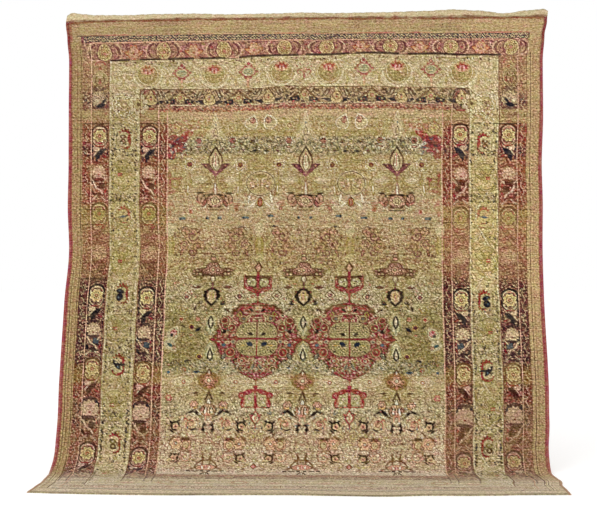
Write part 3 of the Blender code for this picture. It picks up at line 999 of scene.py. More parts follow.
for side, middle in ((1, MAIN_LEFT), (-1, MAIN_RIGHT)):
    fill_box(middle - 0.118, middle - 0.100, 0.34, 4.06, DYES["ivory"], 0.8)
    fill_box(middle + 0.096, middle + 0.112, 0.34, 4.06, DYES["ivory"], 0.8)
    part = window(middle, 2.2, 0.12, 1.62)
    x, q = X[part], Q[part]
    beyond = np.where((q > 0.62) & (q < 3.80), 0.0, REACH)
    swing = middle + side * 0.060 * np.sin(2.0 * math.pi * (q - 1.42) / 0.60)
    lay(part, np.abs((x - swing) * 0.8) - 0.007 + beyond, DYES["cream"], 0.55)
    outline(part, np.abs((x - swing) * 0.8) - 0.008 + beyond, 0.004,
            0.55 * DYES["moss"] + 0.45 * DYES["sand"])
    for index, q_at in enumerate(np.arange(0.72, 3.80, 0.100)):
        lean = 1 if index % 2 else -1
        put(f"leaf 0 0 32 12 {55 * lean} straw ivory; leaf {-30 * lean} 34 20 8 {20 * lean} sand olive",
            middle + lean * 0.050, q_at, sides=(1,), share=0.7)
    for q_at in main_palmettes[middle]:
        tone = main_rows[int((q_at - PILE_TOP) / (LENGTH - PILE_TOP) * PILE_ROWS)]
        palette = {"haze": 0.66 * tone + 0.34 * DYES["olive"], "petal": 0.42 * tone + 0.58 * DYES["olive"],
                   "ivory": 0.65 * tone + 0.35 * DYES["ivory"], "vein": 0.20 * tone + 0.80 * DYES["moss"]}
        put(LARGE_PALMETTE, middle - 0.016 * side, q_at, sides=(side,), palette=palette, share=0.9)
    for q_at in main_flowers[middle]:
        tone = main_rows[int((q_at - PILE_TOP) / (LENGTH - PILE_TOP) * PILE_ROWS)]
        heart = HEARTS[main_flowers[middle].index(q_at)]
        faint = 0.35 * (heart is HEARTS[1])
        palette = {"bare": 0.96 * tone + 0.04 * DYES["cream"],
                   "spike": (1.0 - faint) * (0.75 * DYES["red"] + 0.25 * DYES["brown"]) + faint * tone,
                   "thread": 0.3 * tone + 0.7 * DYES["moss"]}
        put(SPIKED + heart, middle + 0.002 * side, q_at, sides=(side,), palette=palette)
    for top, bottom, count in MAIN_DOTS:
        spread = (middle - 0.100, middle + 0.100)
        stamps(count, spread, (top, bottom), 0.0042, "dark navy dark moss", int(top * 100) + side + 1, 0.85)
        for edge in (middle - 0.092, middle + 0.088):
            stamps(int(130 * (bottom - top) * (0.4 + 0.6 * (count > 30))), (edge - 0.008, edge + 0.008),
                   (top, bottom), 0.0045, "dark navy moss", int(top * 100) + side + 7, 0.85)
    put("""
        disc 0 0 92 86 straw cream; bloom 0 0 74 12 sand cream; burst 0 0 60 14 straw moss
        bloom 0 0 24 8 sand bark
        """, middle, 0.69, share=0.6)
    stamps(150, (middle - 0.10, middle + 0.10), (0.60, 0.82), 0.0042, "dark moss cream plum cream",
           40 + side, 0.75)

# The upper and lower inner small border: rosettes over a broken row of navy leaves
INNER_ROSETTE = """
    leaf 62 42 46 11 -10 shade; leaf 62 -22 30 5 62 dark_brown; leaf 74 -16 30 4 62 ivory
    leaf 86 -22 30 5 62 dark_brown; leaf 98 -30 24 4 62 ivory; spade 0 0 62 50 90 rim dark_brown
    disc 0 10 34 32 gold brown; disc 0 10 22 20 rim; disc 0 2 9 9 plum; disc 0 20 10 7 brick
"""
TENT = """
    roof 0 4 124 104 brown; roof 0 18 108 92 rim; roof 0 30 94 78 brick; box 46 36 9 20 shade
    leaf 66 26 22 8 24 shade; leaf 66 46 22 7 -24 shade; box 92 40 15 13 10 shade; disc 80 36 7 6 rim
    bloom 0 10 36 7 90 straw brown; disc 0 8 13 12 salmon brick; leaf 88 -38 30 8 24 dark_brown
    leaf 60 -46 18 5 -10 ivory
"""
for middle_q, upside, shade, share in ((0.630, 1, "navy", 0.95), (3.782, -1, "plum", 0.6)):
    fill_box(-1.262, 1.26, middle_q - 0.050, middle_q + 0.062, shade_of(160, 134, 98), 0.85)
    inner_palette = {"gold": top_palette["gold"], "shade": DYES[shade],
                     "dark_brown": 0.5 * (DYES["dark"] + DYES["brown"]), "rim": top_palette["rim"]}
    for x in (-0.963, -0.510, 0.0, 0.52, 0.97):
        put(TENT, x, middle_q, upside=upside, palette=inner_palette, share=share)
    for x in (-1.187, -0.735, -0.275, 0.250, 0.745, 1.206):
        put(INNER_ROSETTE, x, middle_q, upside=upside, palette=inner_palette, share=share)
    stamps(260, (-1.25, 1.25), (middle_q - 0.055, middle_q + 0.06), 0.0048, "brown ivory dark straw dark",
           51, 0.7)
for top in (0.700, 3.672):
    fill_box(-1.12, 1.12, top, top + 0.044, shade_of(160, 118, 94), 0.8)
    stamps(190, (-1.12, 1.12), (top, top + 0.05), 0.0055, "dark plum ivory salmon brown", 52, 0.8)
    for step, x in enumerate(np.arange(-1.10, 1.11, 0.05)):
        berry = "salmon" if step % 2 else "plum"
        put(f"disc 0 0 10 9 {berry}; leaf 16 10 14 5 40 brick", x, top + 0.022 + 0.006 * (-1) ** step,
            share=0.75)
fill_box(-1.05, 1.05, 0.747, 0.80, DYES["tan"])

# The field's ground and its curling stems, mirrored about the upright axes every 0.35 m
FIELD_TABLE = [
    # along, ground, curls, how strong the curls are
    (0.80, (178, 154, 108), (150, 124, 74), 0.45),
    (0.94, (172, 148, 98), (142, 116, 66), 0.50),
    (0.96, (182, 162, 118), (84, 78, 62), 0.95),
    (1.07, (180, 160, 114), (84, 76, 62), 0.95),
    (1.10, (178, 154, 104), (148, 120, 74), 0.45),
    (1.32, (176, 152, 102), (146, 118, 74), 0.45),
    (1.45, (184, 158, 114), (158, 112, 84), 0.55),
    (1.56, (186, 162, 118), (164, 128, 90), 0.45),
    (1.70, (184, 158, 112), (134, 96, 66), 0.70),
    (1.92, (182, 156, 106), (124, 88, 58), 0.75),
    (2.02, (180, 158, 106), (128, 104, 62), 0.60),
    (2.20, (184, 164, 116), (104, 92, 60), 0.75),
    (2.30, (178, 158, 108), (96, 84, 56), 0.80),
    (2.68, (170, 150, 98), (98, 84, 54), 0.70),
    (2.72, (182, 164, 122), (92, 92, 72), 0.90),
    (2.79, (182, 164, 120), (104, 98, 72), 0.85),
    (2.82, (188, 166, 120), (158, 122, 80), 0.50),
    (2.98, (192, 170, 124), (120, 96, 60), 0.60),
    (3.08, (196, 176, 132), (116, 104, 78), 0.75),
    (3.20, (200, 178, 136), (132, 96, 76), 0.80),
    (3.30, (202, 176, 138), (140, 100, 76), 0.75),
    (3.50, (204, 178, 140), (140, 104, 80), 0.70),
    (3.60, (206, 184, 150), (150, 116, 96), 0.60),
    (3.66, (206, 186, 154), (160, 130, 106), 0.50),
]
field_ground, field_curl = table_colours(FIELD_TABLE, 1), table_colours(FIELD_TABLE, 2)
curl_share = np.interp(grid_along, [row[0] for row in FIELD_TABLE], [row[3] for row in FIELD_TABLE])
AXIS_STEP = 0.35
MIDDLE_Q = 2.535


def axis_shift(q):
    """The middle axis leans right towards the top by 15 mm."""
    return 0.015 * (1.0 - ease((q - 1.2) / 0.9))


def mirrored_curls(seed, low, high, count=22):
    """Signed distance to curling lines: a sum of cosines of mirrored places, over its own slope."""
    chance = np.random.default_rng(seed)
    centred = X - axis_shift(Q)
    fold = np.abs((centred / AXIS_STEP + 1.0) % 2.0 - 1.0) * AXIS_STEP
    fall = np.abs(Q - MIDDLE_Q) + 0.10 * np.sin(2.0 * math.pi * fold / 0.7)
    total, slope_x, slope_q = np.zeros_like(X), np.zeros_like(X), np.zeros_like(X)
    for _ in range(count):
        turn = chance.uniform(0.0, 2.0 * math.pi)
        size = 2.0 * math.pi / chance.uniform(low, high)
        kx, kq = size * math.cos(turn), size * math.sin(turn)
        phase = kx * fold + kq * fall + chance.uniform(0.0, 2.0 * math.pi)
        total += np.cos(phase)
        slope_x -= kx * np.sin(phase)
        slope_q -= kq * np.sin(phase)
    return total / np.maximum(np.hypot(slope_x, slope_q), 40.0), total / math.sqrt(count)


in_field = np.clip(0.5 - box(X - 0.002, Q - 2.23, 1.052, 1.43) / CELL, 0.0, 1.0)
curls, hills = mirrored_curls(5, 0.045, 0.085)
fine_curls, fine_hills = mirrored_curls(9, 0.026, 0.045)
relief = 1.0 + 0.05 * np.tanh(2.0 * hills) + 0.04 * np.tanh(2.0 * fine_hills)
ground = field_ground[:, None, :] * relief[..., None]
tint(dye, ground, in_field)
for gap, width, lift in ((curls, 0.0045, 0.15), (fine_curls, 0.0035, 0.35)):
    near = np.abs(gap) - 0.5 * width
    faint = 1.0 - curl_share[:, None, None] + lift
    shade = field_curl[:, None, :] + (ground - field_curl[:, None, :]) * faint
    closer = (near < line_gap) & (in_field > 0.5) & (near < REACH)
    line_gap[:] = np.where(closer, near, line_gap)
    line_dye[:] = np.where(closer[..., None], shade, line_dye)

A_AXES = (-0.70, 0.0, 0.70)
B_AXES = (-0.35, 0.35)


def at_axes(chart, axes, q, **more):
    """Works a motif on each axis of a set."""
    for axis in axes:
        put(chart, axis + axis_shift(q), q, **{"halo": "cream", **more})


def soft_patch(x, q, half_x, half_q, colour, share):
    """A soft oval of another colour on the field's ground."""
    part = window(x, q, 1.6 * half_x, 1.6 * half_q)
    away = np.hypot((X[part] - x) / half_x, (Q[part] - q) / half_q)
    tint(dye[part], colour_of(colour), share * np.clip(1.35 - away, 0.0, 0.7) / 0.7 * in_field[part])


PATCHES = [
    # axes, offset to both sides, along, half-sizes, dye and share
    (A_AXES, 0.13, 0.90, 0.08, 0.07, "olive", 0.5), (B_AXES, 0.0, 0.93, 0.10, 0.05, "olive", 0.45),
    (B_AXES, 0.0, 1.13, 0.12, 0.09, "olive", 0.55), (B_AXES, 0.0, 1.30, 0.12, 0.10, "olive", 0.45),
    (A_AXES, 0.09, 1.33, 0.06, 0.09, "olive", 0.6), (A_AXES, 0.15, 1.20, 0.08, 0.12, "ivory", 0.45),
    (A_AXES, 0.15, 1.42, 0.06, 0.10, "ivory", 0.4), (B_AXES, 0.10, 1.46, 0.05, 0.07, "cream", 0.5),
    (B_AXES, 0.0, 1.62, 0.05, 0.08, "straw", 0.35), (B_AXES, 0.06, 1.78, 0.035, 0.08, "olive", 0.75),
    (B_AXES, 0.0, 1.76, 0.035, 0.11, "gold", 0.6), (B_AXES, 0.0, 1.88, 0.045, 0.05, "olive", 0.5),
    (B_AXES, 0.10, 1.90, 0.04, 0.05, "olive", 0.5),
    (A_AXES, 0.0, 1.74, 0.10, 0.10, (0.74, 0.63, 0.46), 0.9),
    (A_AXES, 0.13, 1.58, 0.09, 0.05, "straw", 0.4), (A_AXES, 0.11, 2.07, 0.08, 0.04, "olive", 0.6),
    (A_AXES, 0.0, 2.19, 0.10, 0.10, "olive", 0.75), (A_AXES, 0.20, 2.10, 0.07, 0.10, "ivory", 0.55),
    (B_AXES, 0.14, 2.20, 0.09, 0.06, "ivory", 0.7), (A_AXES, 0.16, 2.30, 0.08, 0.06, "cream", 0.6),
    (A_AXES, 0.0, 2.86, 0.13, 0.10, "olive", 0.75), (B_AXES, 0.11, 2.86, 0.10, 0.06, "ivory", 0.7),
    (A_AXES, 0.07, 2.99, 0.05, 0.07, "olive", 0.65), (A_AXES, 0.17, 2.95, 0.05, 0.08, "straw", 0.5),
    (B_AXES, 0.0, 3.12, 0.12, 0.07, "ivory", 0.6), (B_AXES, 0.07, 3.16, 0.05, 0.06, "olive", 0.45),
    (B_AXES, 0.0, 3.28, 0.10, 0.06, "olive", 0.5), (B_AXES, 0.0, 3.37, 0.08, 0.05, "ivory", 0.5),
    (A_AXES, 0.0, 3.34, 0.10, 0.11, (0.75, 0.66, 0.49), 0.9),
    (A_AXES, 0.0, 3.40, 0.05, 0.06, "grey_green", 0.25), (B_AXES, 0.0, 3.47, 0.08, 0.07, "ivory", 0.5),
    (A_AXES, 0.20, 3.52, 0.10, 0.05, "straw", 0.4),
]
for axes, away, q, half_x, half_q, colour, share in PATCHES:
    for axis in axes:
        for side in (1, -1) if away else (1,):
            x = axis + side * away + axis_shift(q)
            if abs(x) <= 1.07:
                soft_patch(x, q, half_x, half_q, colour, share)
for side in (-1, 1):
    for x, q, half_x, half_q, colour, share in (
            (0.93, 2.52, 0.14, 0.26, "olive", 0.8), (0.97, 2.40, 0.10, 0.10, "moss", 0.4),
            (0.94, 2.68, 0.12, 0.12, "olive", 0.5), (1.00, 1.90, 0.05, 0.20, "olive", 0.35),
            (0.99, 1.63, 0.05, 0.12, "straw", 0.5), (1.00, 2.00, 0.06, 0.06, "straw", 0.5),
            (1.00, 2.92, 0.06, 0.14, "straw", 0.5), (0.98, 3.15, 0.07, 0.08, "olive", 0.35)):
        soft_patch(side * x, q, half_x, half_q, colour, share)

# The field's motifs, from the top down
at_axes("""
    spade 0 0 92 36 90 sand straw; leaf 50 74 34 9 60 sand straw; drop 0 44 34 14 90 sand umber
    disc 0 52 5 10 olive; leaf 12 82 12 5 30 dark; disc 0 -14 7 8 slate; disc 0 -36 5 5 brown
    """, A_AXES, 0.860, share=0.6)
at_axes("""
    drop 68 0 56 46 70 straw cream; burst 60 -14 26 7 rose brown; leaf 52 -24 18 8 40 plum
    disc 64 6 10 7 brick; leaf 22 40 20 6 60 olive
    """, B_AXES, 0.835, share=0.6)
at_axes("""
    bloom 130 0 30 5 straw olive; leaf 168 -48 22 5 moss; disc 130 0 14 12 sand rust
    bar 100 60 40 3 70 sand
    """, A_AXES, 0.870)
SPECKLE_BAND = """
    leaf 74 -40 20 9 20 umber; leaf 44 34 20 10 10 navy; leaf 108 10 20 7 -60 moss
    bloom 0 -34 20 5 straw brown; leaf 150 -20 20 8 -40 umber; leaf 128 30 18 7 30 plum
    leaf 172 26 18 8 40 moss
"""
at_axes(SPECKLE_BAND, B_AXES, 1.028)
at_axes("bloom 132 -22 26 6 rose_brown umber; leaf 132 24 26 8 salmon umber", A_AXES, 1.005)
for side in (-1, 1):
    stamps(150, (0.10 * side, 1.03 * side), (0.958, 1.082), 0.0050, "dark umber dark moss", 71, 0.9)
    stamps(150, (0.06 * side, 1.03 * side), (0.958, 1.085), 0.005, "cream sand moss grey_green", 72, 0.85)
at_axes("""
    leaf 0 -12 104 56 90 umber; leaf 0 -8 90 46 90 sand; leaf 0 4 66 28 90 ivory brown
    roof 0 -84 34 62 dark; bar 0 -20 50 3 90 rose; leaf 18 -10 30 4 84 brown
    disc 66 34 28 21 -20 42/24/25; leaf 92 22 22 9 -10 42/24/25; disc 74 30 6 6 rose
    leaf 38 66 44 15 -38 50/30/29; disc 0 92 23 20 58/36/35; disc 0 84 8 6 salmon
    leaf 0 122 18 7 90 rose_brown; drop 0 202 60 14 90 rose_brown; drop 0 208 50 8 90 cream
    """, A_AXES, 1.145)
RING_FLOWER = """
    bloom 0 0 46 7 - cream; disc 0 0 28 26 sand; disc 0 0 20 19 46/22/22; disc 0 0 9 8 rust
    bar 4 110 70 2 88 olive; leaf 14 190 46 9 84 cream olive; leaf -10 140 30 6 96 olive
"""
for side in (-1, 1):
    for x in (0.205, 0.505, 0.895):
        put(RING_FLOWER, side * x + 0.012, 1.168, sides=(side,))
at_axes("""
    disc 0 -2 106 92 66/56/36 bark; disc 0 -4 84 74 70/60/40; leaf 0 -60 50 16 moss
    bar 0 14 40 3 90 bark; leaf 54 8 44 30 80 64/52/34; hook 106 70 24 5 30 bark
    leaf 104 76 22 8 84 sand
    """, B_AXES, 1.315, share=0.6)
for axis in B_AXES:
    stamps(54, (axis + 0.026, axis + 0.084), (1.272, 1.358), 0.0046, "cream sand umber bark pale_pink", 75,
           0.75, mirror=axis + 0.010)
at_axes("""
    drop 0 0 40 34 90 sand bark; disc 0 4 25 34 gold bark; disc 0 4 18 30 56/27/23; disc 0 4 6 18 salmon
    leaf 58 20 44 12 40 cream straw; leaf 84 -26 40 10 80 cream
    """, B_AXES, 1.455)
at_axes("leaf 118 0 44 17 ivory straw; leaf 118 0 24 4 straw", A_AXES, 1.287, share=0.6)
CROWN = """
    disc 107 -22 36 40 umber; disc 106 -24 28 32 74/58/45; leaf 106 -20 26 6 80 brown
    leaf 82 14 34 14 60 rose_brown umber; leaf 118 14 30 8 -30 rose; disc 0 -6 70 52 umber
    disc 0 -6 61 44 72/56/43; bloom 0 -4 36 9 sand umber; disc 0 -4 15 16 sand umber
    disc 44 -12 10 10 pale_pink umber; disc 34 16 8 8 pale_pink; disc 30 -34 9 8 salmon
    disc 52 12 7 7 salmon; disc 14 34 7 6 pale_pink; leaf 38 -52 34 9 8 dark; leaf 112 -66 34 8 dark
    leaf 84 -44 16 7 50 dark; leaf 36 44 24 6 -20 umber; bar 0 64 54 4 umber
"""
at_axes(CROWN, A_AXES, 1.452)
for side in (-1, 1):
    put("bar 0 0 30 3 rose; bar 0 16 26 3 brick; box 4 42 12 12 rose brown; bar -4 -14 24 3 salmon",
        side * 0.185 + 0.01, 1.462, sides=(side,))
    put("bar 0 0 26 3 rose; bar 2 16 26 3 brick; box 0 46 12 14 20 rust rose",
        side * 0.53 + 0.01, 1.462, sides=(side,))
    put("box 0 0 12 15 brick pink", side * 0.885 + 0.01, 1.532)
    for x, q, half in ((0.262, 1.566, 24), (0.458, 1.577, 27), (0.660, 1.582, 18), (0.752, 1.584, 13),
                       (0.945, 1.588, 26), (0.045, 1.576, 10)):
        put(f"box 0 0 {half} 8 slate; disc {half // 2} 0 7 10 navy; leaf 0 -12 {half} 3 teal",
            side * x + 0.006, q, sides=(side,), share=0.85)
    for x, q, half in ((0.235, 1.648, 28), (0.485, 1.653, 30), (0.925, 1.656, 27)):
        put(f"bar 0 0 {half} 3 dark; disc 4 -4 9 6 navy", side * x + 0.005, q)
    rule(*sorted((side * 0.90, side * 1.04)), 1.658, 1.658, 0.004, colour_of("brown"))
CLOUD = """
    bloom 168 -30 58 6 20 73/58/42 bark; bloom 210 -62 44 5 73/58/42 umber
    bloom 232 34 44 6 73/58/42 bark; bloom 128 46 56 7 10 72/57/40 brown; hook 168 -30 40 5 plum
    hook 212 -60 28 4 90 bark; hook 230 34 28 4 180 plum; hook 130 48 38 5 250 brown
    hook 172 96 34 5 30 plum; leaf 250 96 30 10 70 66/47/36 plum; leaf 118 -66 30 6 30 brown
    leaf 98 60 26 6 bark; bar 60 104 46 3 brown; leaf 148 -88 26 5 -20 brown
    disc 168 -30 12 12 sand brown; disc 128 46 12 12 salmon brown; disc 210 -62 10 10 salmon
    disc 234 34 10 10 sand brown
"""
for axis in A_AXES:
    for side in (1, -1):
        if abs(axis + side * 0.2) < 1.0:
            put(CLOUD, axis + axis_shift(1.75), 1.752, sides=(side,), share=0.85)
stamps(260, (-1.03, -0.40), (1.66, 1.98), 0.006, "bark umber sand rose_brown olive", 81, 0.7, mirror=0.0)
stamps(160, (-0.29, 0.0), (1.66, 1.98), 0.006, "bark umber sand rose_brown olive", 82, 0.7, mirror=0.0)
for side in (1, -1):
    for x in (0.35, 1.04):
        put("""
            disc 0 20 34 84 olive; leaf 0 20 78 13 90 straw; disc 0 116 36 34 74/66/46
            disc 0 -106 36 60 77/70/52
            """, side * x + 0.004, 1.775, share=0.75)
CROWN_DARK = """
    disc 0 -122 20 17 umber; disc 0 -122 13 10 sand; disc 0 -98 26 18 umber; disc 0 -98 18 11 salmon
    leaf 108 -8 60 17 6 umber; disc 92 -8 12 8 salmon; disc 122 -6 10 6 sand; disc 146 -4 6 4 salmon
    leaf 114 22 50 17 -4 umber; disc 98 22 11 8 sand; disc 124 21 10 7 salmon; disc 146 20 6 5 sand
    disc 0 -2 96 38 umber; disc 0 -30 58 46 umber; disc 0 -3 84 28 66/48/38; disc 0 -30 48 36 66/48/38
    bloom 0 -10 30 9 salmon umber; disc 0 -10 12 11 sand umber; disc 38 -8 10 10 pale_pink umber
    disc 62 -2 9 9 salmon umber; disc 26 -42 10 9 pale_pink umber; disc 0 -58 10 9 salmon umber
    disc 20 18 8 7 pale_pink umber; disc 48 16 8 7 salmon umber; bar 50 34 44 4 umber
    leaf 134 44 22 6 -20 umber; leaf 82 46 20 6 30 umber; disc 0 60 22 30 umber; disc 0 60 13 21 ivory
    leaf 0 102 18 9 90 plum
"""
at_axes(CROWN_DARK, A_AXES, 1.995)

WREATH = """
    disc 0 -8 58 62 ink; diamond 0 40 46 42 ink; disc 46 -38 17 13 ink; disc 56 -4 11 16 ink
    disc 42 26 14 12 ink; disc 0 -10 36 42 sand; diamond 0 26 32 32 sand; diamond 38 -30 10 9 ink
    diamond 38 12 9 10 ink; leaf 0 -4 40 6 90 salmon; leaf 14 -2 36 5 86 gold; leaf 28 -6 24 4 90 salmon
    leaf 22 12 20 4 84 ivory; disc 0 -70 9 10 plum
"""
at_axes(WREATH, A_AXES, 2.198)
at_axes("leaf 118 0 34 11 umber brown; leaf 118 -2 16 5 plum", A_AXES, 2.122)
for side in (1, -1):
    for x, q in ((0.203, 2.186), (0.487, 2.195), (0.890, 2.202)):
        put("""
            diamond 0 0 40 42 sand umber; diamond 0 0 30 32 ivory; burst 0 0 21 6 plum
            disc 0 0 6 6 rose
            """, side * x, q)
    for x, q in ((0.090, 2.252), (0.615, 2.258), (0.785, 2.260)):
        put("leaf 0 0 24 12 30 ink; leaf 12 26 26 6 60 moss; disc -8 -8 9 8 ink",
            side * x, q - 0.012, sides=(side,))
TRIDENT = """
    diamond 0 -118 34 58 bark; diamond 0 -116 19 34 salmon; disc 0 -112 7 9 pale_pink
    pad 52 0 46 50 umber; pad 50 0 36 38 72/67/47; leaf 56 52 56 19 -20 madder; disc 22 66 26 18 madder
    leaf 52 30 44 5 -18 umber; leaf 99 -22 44 12 88 madder; box 52 -46 48 10 umber
    disc 94 22 17 26 madder; box 0 12 11 98 madder; disc 0 74 22 15 madder; bar 99 -16 20 2 88 salmon
    bar 56 54 30 2 -20 salmon; disc 34 -20 8 7 cream; disc 62 -8 8 7 cream; disc 38 6 7 6 moss
    disc 64 -26 6 6 moss; leaf 48 -8 18 4 30 umber; bar 0 140 34 5 90 madder
    disc 40 112 13 11 sand brick
"""
at_axes(TRIDENT, B_AXES, 2.085)
stamps(120, (-1.03, 0.0), (2.05, 2.33), 0.0042, "dark moss dark", 91, 0.8, mirror=0.0)
stamps(150, (-1.03, 0.0), (2.08, 2.33), 0.0055, "cream ivory brick", 92, 0.7, mirror=0.0)

# The two red medallions: half-width at each place along, in millimetres
MEDALLION = [
    # along from the middle line, half-width
    (-296, 4), (-288, 26), (-281, 62), (-276, 118), (-262, 146), (-235, 176), (-205, 190), (-190, 200),
    (-184, 234), (-172, 260), (-150, 276), (-100, 294), (-50, 306), (-20, 322), (0, 350), (20, 318),
    (50, 298), (100, 280), (140, 262), (158, 236), (168, 192), (185, 172), (215, 160), (240, 148),
    (255, 124), (275, 96), (292, 62), (302, 30), (318, 5),
]
medallion_rows = np.array(MEDALLION, dtype=float) * MILLIMETRE
medallion_red = shade_of(136, 45, 51)
for axis in B_AXES:
    part = window(axis, MIDDLE_Q, 0.38, 0.36)
    x, q = X[part] - axis - 0.001, Q[part] - MIDDLE_Q
    half = np.interp(q, medallion_rows[:, 0], medallion_rows[:, 1])
    half = half + 0.005 * np.sin(q * 150.0) * (half > 0.02)
    gap = np.maximum((np.abs(x) - half) * 0.72,
                     np.maximum(medallion_rows[0, 0] - q, q - medallion_rows[-1, 0]))
    lay(part, gap - 0.015, DYES["sand"], 0.6)
    lay(part, gap - 0.008, DYES["umber"], 0.95)
    lay(part, gap, medallion_red)
    around[part] = np.minimum(around[part], gap)
    scroll = drift(20, 0.030, 0.060, 63 if axis < 0 else 64)[part]
    within = np.clip(0.5 - (gap + 0.006) / CELL, 0.0, 1.0)
    speckle[part] *= 1.0 - 0.35 * within
    for low, shade, share in ((0.60, "bark", 0.85), (1.55, "olive", 0.45)):
        tint(dye[part], DYES[shade], share * within * ease((scroll - low) / 0.3))
    for low, shade, share in ((0.50, (0.50, 0.17, 0.22), 0.7), (1.5, "sand", 0.35)):
        tint(dye[part], colour_of(shade), share * within * ease((-scroll - low) / 0.3))
# What the medallions hold: a pale floret between dark leaves, scrolls and a brown band on the
# shoulders, then the four cartouches and the cross between them, the side lobes, the lower part,
# and just outside it a navy leaf, a brick leaf and a pale loop at each shoulder
MEDALLION_CHART = """
    bar 158 -236 44 8 47 bark; bar 64 -268 52 5 bark; burst 0 -246 24 4 45 ivory; disc 0 -246 8 8 gold
    arch 0 -238 32 3 180 ivory; leaf 43 -230 22 9 -35 dark; bar 37 -204 18 4 ivory
    bar 36 -192 22 3 bark; disc 122 -214 26 14 -30 plum; disc 100 -244 30 8 10 crimson
    disc 103 -164 36 31 umber; disc 103 -164 30 26 sand; disc 103 -164 24 20 brown
    disc 101 -164 13 11 grey_green; leaf 66 -178 24 8 40 bark sand; hook 134 -196 20 4 100 olive
    disc 25 -150 14 14 ivory; disc 25 -150 6 6 brick; bar 62 -150 11 5 90 ivory
    bar 164 -144 24 4 -41 ivory; bar 174 -134 20 3 -41 sand

    quarter 82 -74 80 66 umber; quarter 82 -74 76 62 sand; quarter 82 -74 71 56 60/54/36
    quarter 82 68 80 -66 umber; quarter 82 68 76 -62 sand; quarter 82 68 71 -56 60/54/35
    bar 0 -70 52 3 90 bark; bar 0 40 26 6 90 rose; bar 0 90 30 5 90 madder; bar 0 -4 165 7 52/18/20

    disc 190 -92 38 38 umber; disc 190 -92 32 32 sand; disc 190 -92 27 27 53/18/20
    hook 190 -92 15 4 40 umber; leaf 196 -90 12 6 30 sand; leaf 186 -106 14 4 30 bark
    arch 244 -138 40 4 -30 sand; disc 246 -150 34 30 umber; disc 246 -150 28 25 sand
    disc 246 -150 23 20 52/19/20; hook 246 -150 13 4 200 bark; disc 250 -148 6 5 plum
    leaf 253 -68 28 14 -40 ink; leaf 246 -62 20 9 50 ink; bar 276 -98 32 4 -62 ivory
    disc 222 -74 12 8 grey_green; disc 177 -34 13 9 grey_green ivory; disc 229 -42 14 11 ivory
    disc 229 -42 7 5 brick; leaf 276 -24 14 6 10 pink; leaf 284 15 13 5 cream
    disc 178 18 15 11 grey_green ivory; disc 221 22 15 11 sand ivory; disc 221 22 6 5 brick
    disc 246 42 15 13 slate; disc 200 99 41 42 umber; disc 200 99 35 36 sand; disc 200 99 30 31 56/20/21
    hook 200 99 19 4 90 umber; leaf 203 97 13 5 50 sand; leaf 248 130 30 15 60 grey_green dark
    disc 252 120 5 5 ivory; leaf 206 148 18 8 20 pink; leaf 160 154 24 8 10 dark

    disc 114 164 32 21 crimson sand; disc 114 164 11 9 grey_green ivory; bar 96 192 42 3 8 ivory
    disc 124 228 24 19 brown sand; disc 124 228 9 8 grey_green; disc 24 164 14 12 ivory
    disc 24 164 5 5 brick; bar 58 160 14 4 60 sand; leaf 27 214 26 13 62 grey_green ivory
    leaf 52 234 20 5 50 cream; disc 0 196 7 10 crimson; arch 68 228 20 3 90 ivory; disc 13 280 8 8 pink
    leaf 40 264 20 7 -25 crimson; bar 0 345 30 3 90 brick

    leaf 262 -278 22 9 12 navy; leaf 224 -228 26 8 -40 umber; disc 244 -232 9 8 dark
    disc 193 -188 21 13 ivory; disc 192 -188 9 6 dark; leaf 262 168 26 7 30 moss cream
    leaf 238 218 24 9 20 slate cream; leaf 196 256 30 6 25 cream
"""
for axis in B_AXES:
    put(MEDALLION_CHART, axis + 0.001, MIDDLE_Q,
        palette={"ivory": shade_of(190, 166, 124), "cream": DYES["ivory"], "dark": DYES["ink"],
                 "grey_green": shade_of(112, 104, 88)})
at_axes("""
    spade 0 0 92 46 270 73/67/47 straw; leaf 0 0 74 32 90 78/73/54 grey_green; leaf 0 -32 56 25 90 ink
    leaf 0 -32 36 10 90 ivory; leaf 30 6 28 4 78 moss; leaf 0 40 20 6 90 grey_green; disc 18 48 5 5 moss
    """, A_AXES, 2.432, halo="olive")
at_axes("""
    spade 0 0 88 50 90 73/67/47 straw; leaf 0 6 66 34 90 78/73/54 grey_green; drop 0 30 54 24 90 ink
    drop 0 36 30 10 90 ivory; leaf 30 4 30 4 70 moss; disc 30 60 5 6 moss
    """, A_AXES, 2.620, halo="olive")
for x, sides in ((A_AXES[0], (1,)), (A_AXES[1], (-1, 1)), (A_AXES[2], (-1,))):
    put("leaf 36 0 46 17 umber; leaf 36 0 44 13 52/19/20", x, MIDDLE_Q, sides=sides)
at_axes("roof 0 24 26 44 umber; diamond 0 30 8 14 gold", A_AXES, 2.772)
for axis in (-1.05, -0.70, 0.0):
    stamps(60, (axis - 0.05, axis + 0.05), (2.37, 2.70), 0.0050, "ivory moss grey_green", 101, 0.6)

# The olive ground beside the medallions, with pale teardrop flowers
SIDE_FLOWERS = """
    drop 0 -44 62 46 60 ivory cream; burst 0 -42 26 7 pink red; disc 14 -26 13 13 navy
    disc 2 -52 9 8 red; drop 16 58 60 42 -50 ivory cream; leaf 26 52 25 12 -30 teal
    burst -6 70 18 6 salmon brown; leaf -40 104 20 7 30 cream moss; leaf -182 -70 30 14 40 navy
    bloom -176 -152 22 5 rose moss; burst -52 -150 20 5 20 brick sand; bloom -132 -88 22 5 plum gold
    leaf -68 -92 24 7 -40 dark; leaf -128 -26 18 6 rose; disc -196 138 20 17 plum gold
    leaf -160 40 30 8 10 moss; leaf -112 170 24 7 navy; disc -96 178 9 9 navy
    burst -84 240 22 5 brick moss; disc 30 204 12 12 rose moss; disc 30 260 15 15 slate sand
    leaf -154 -236 24 9 70 dark; leaf -146 222 28 7 -50 plum cream; leaf -180 260 26 8 navy slate
    hook -60 -230 30 4 olive; hook -20 130 34 4 90 moss
"""
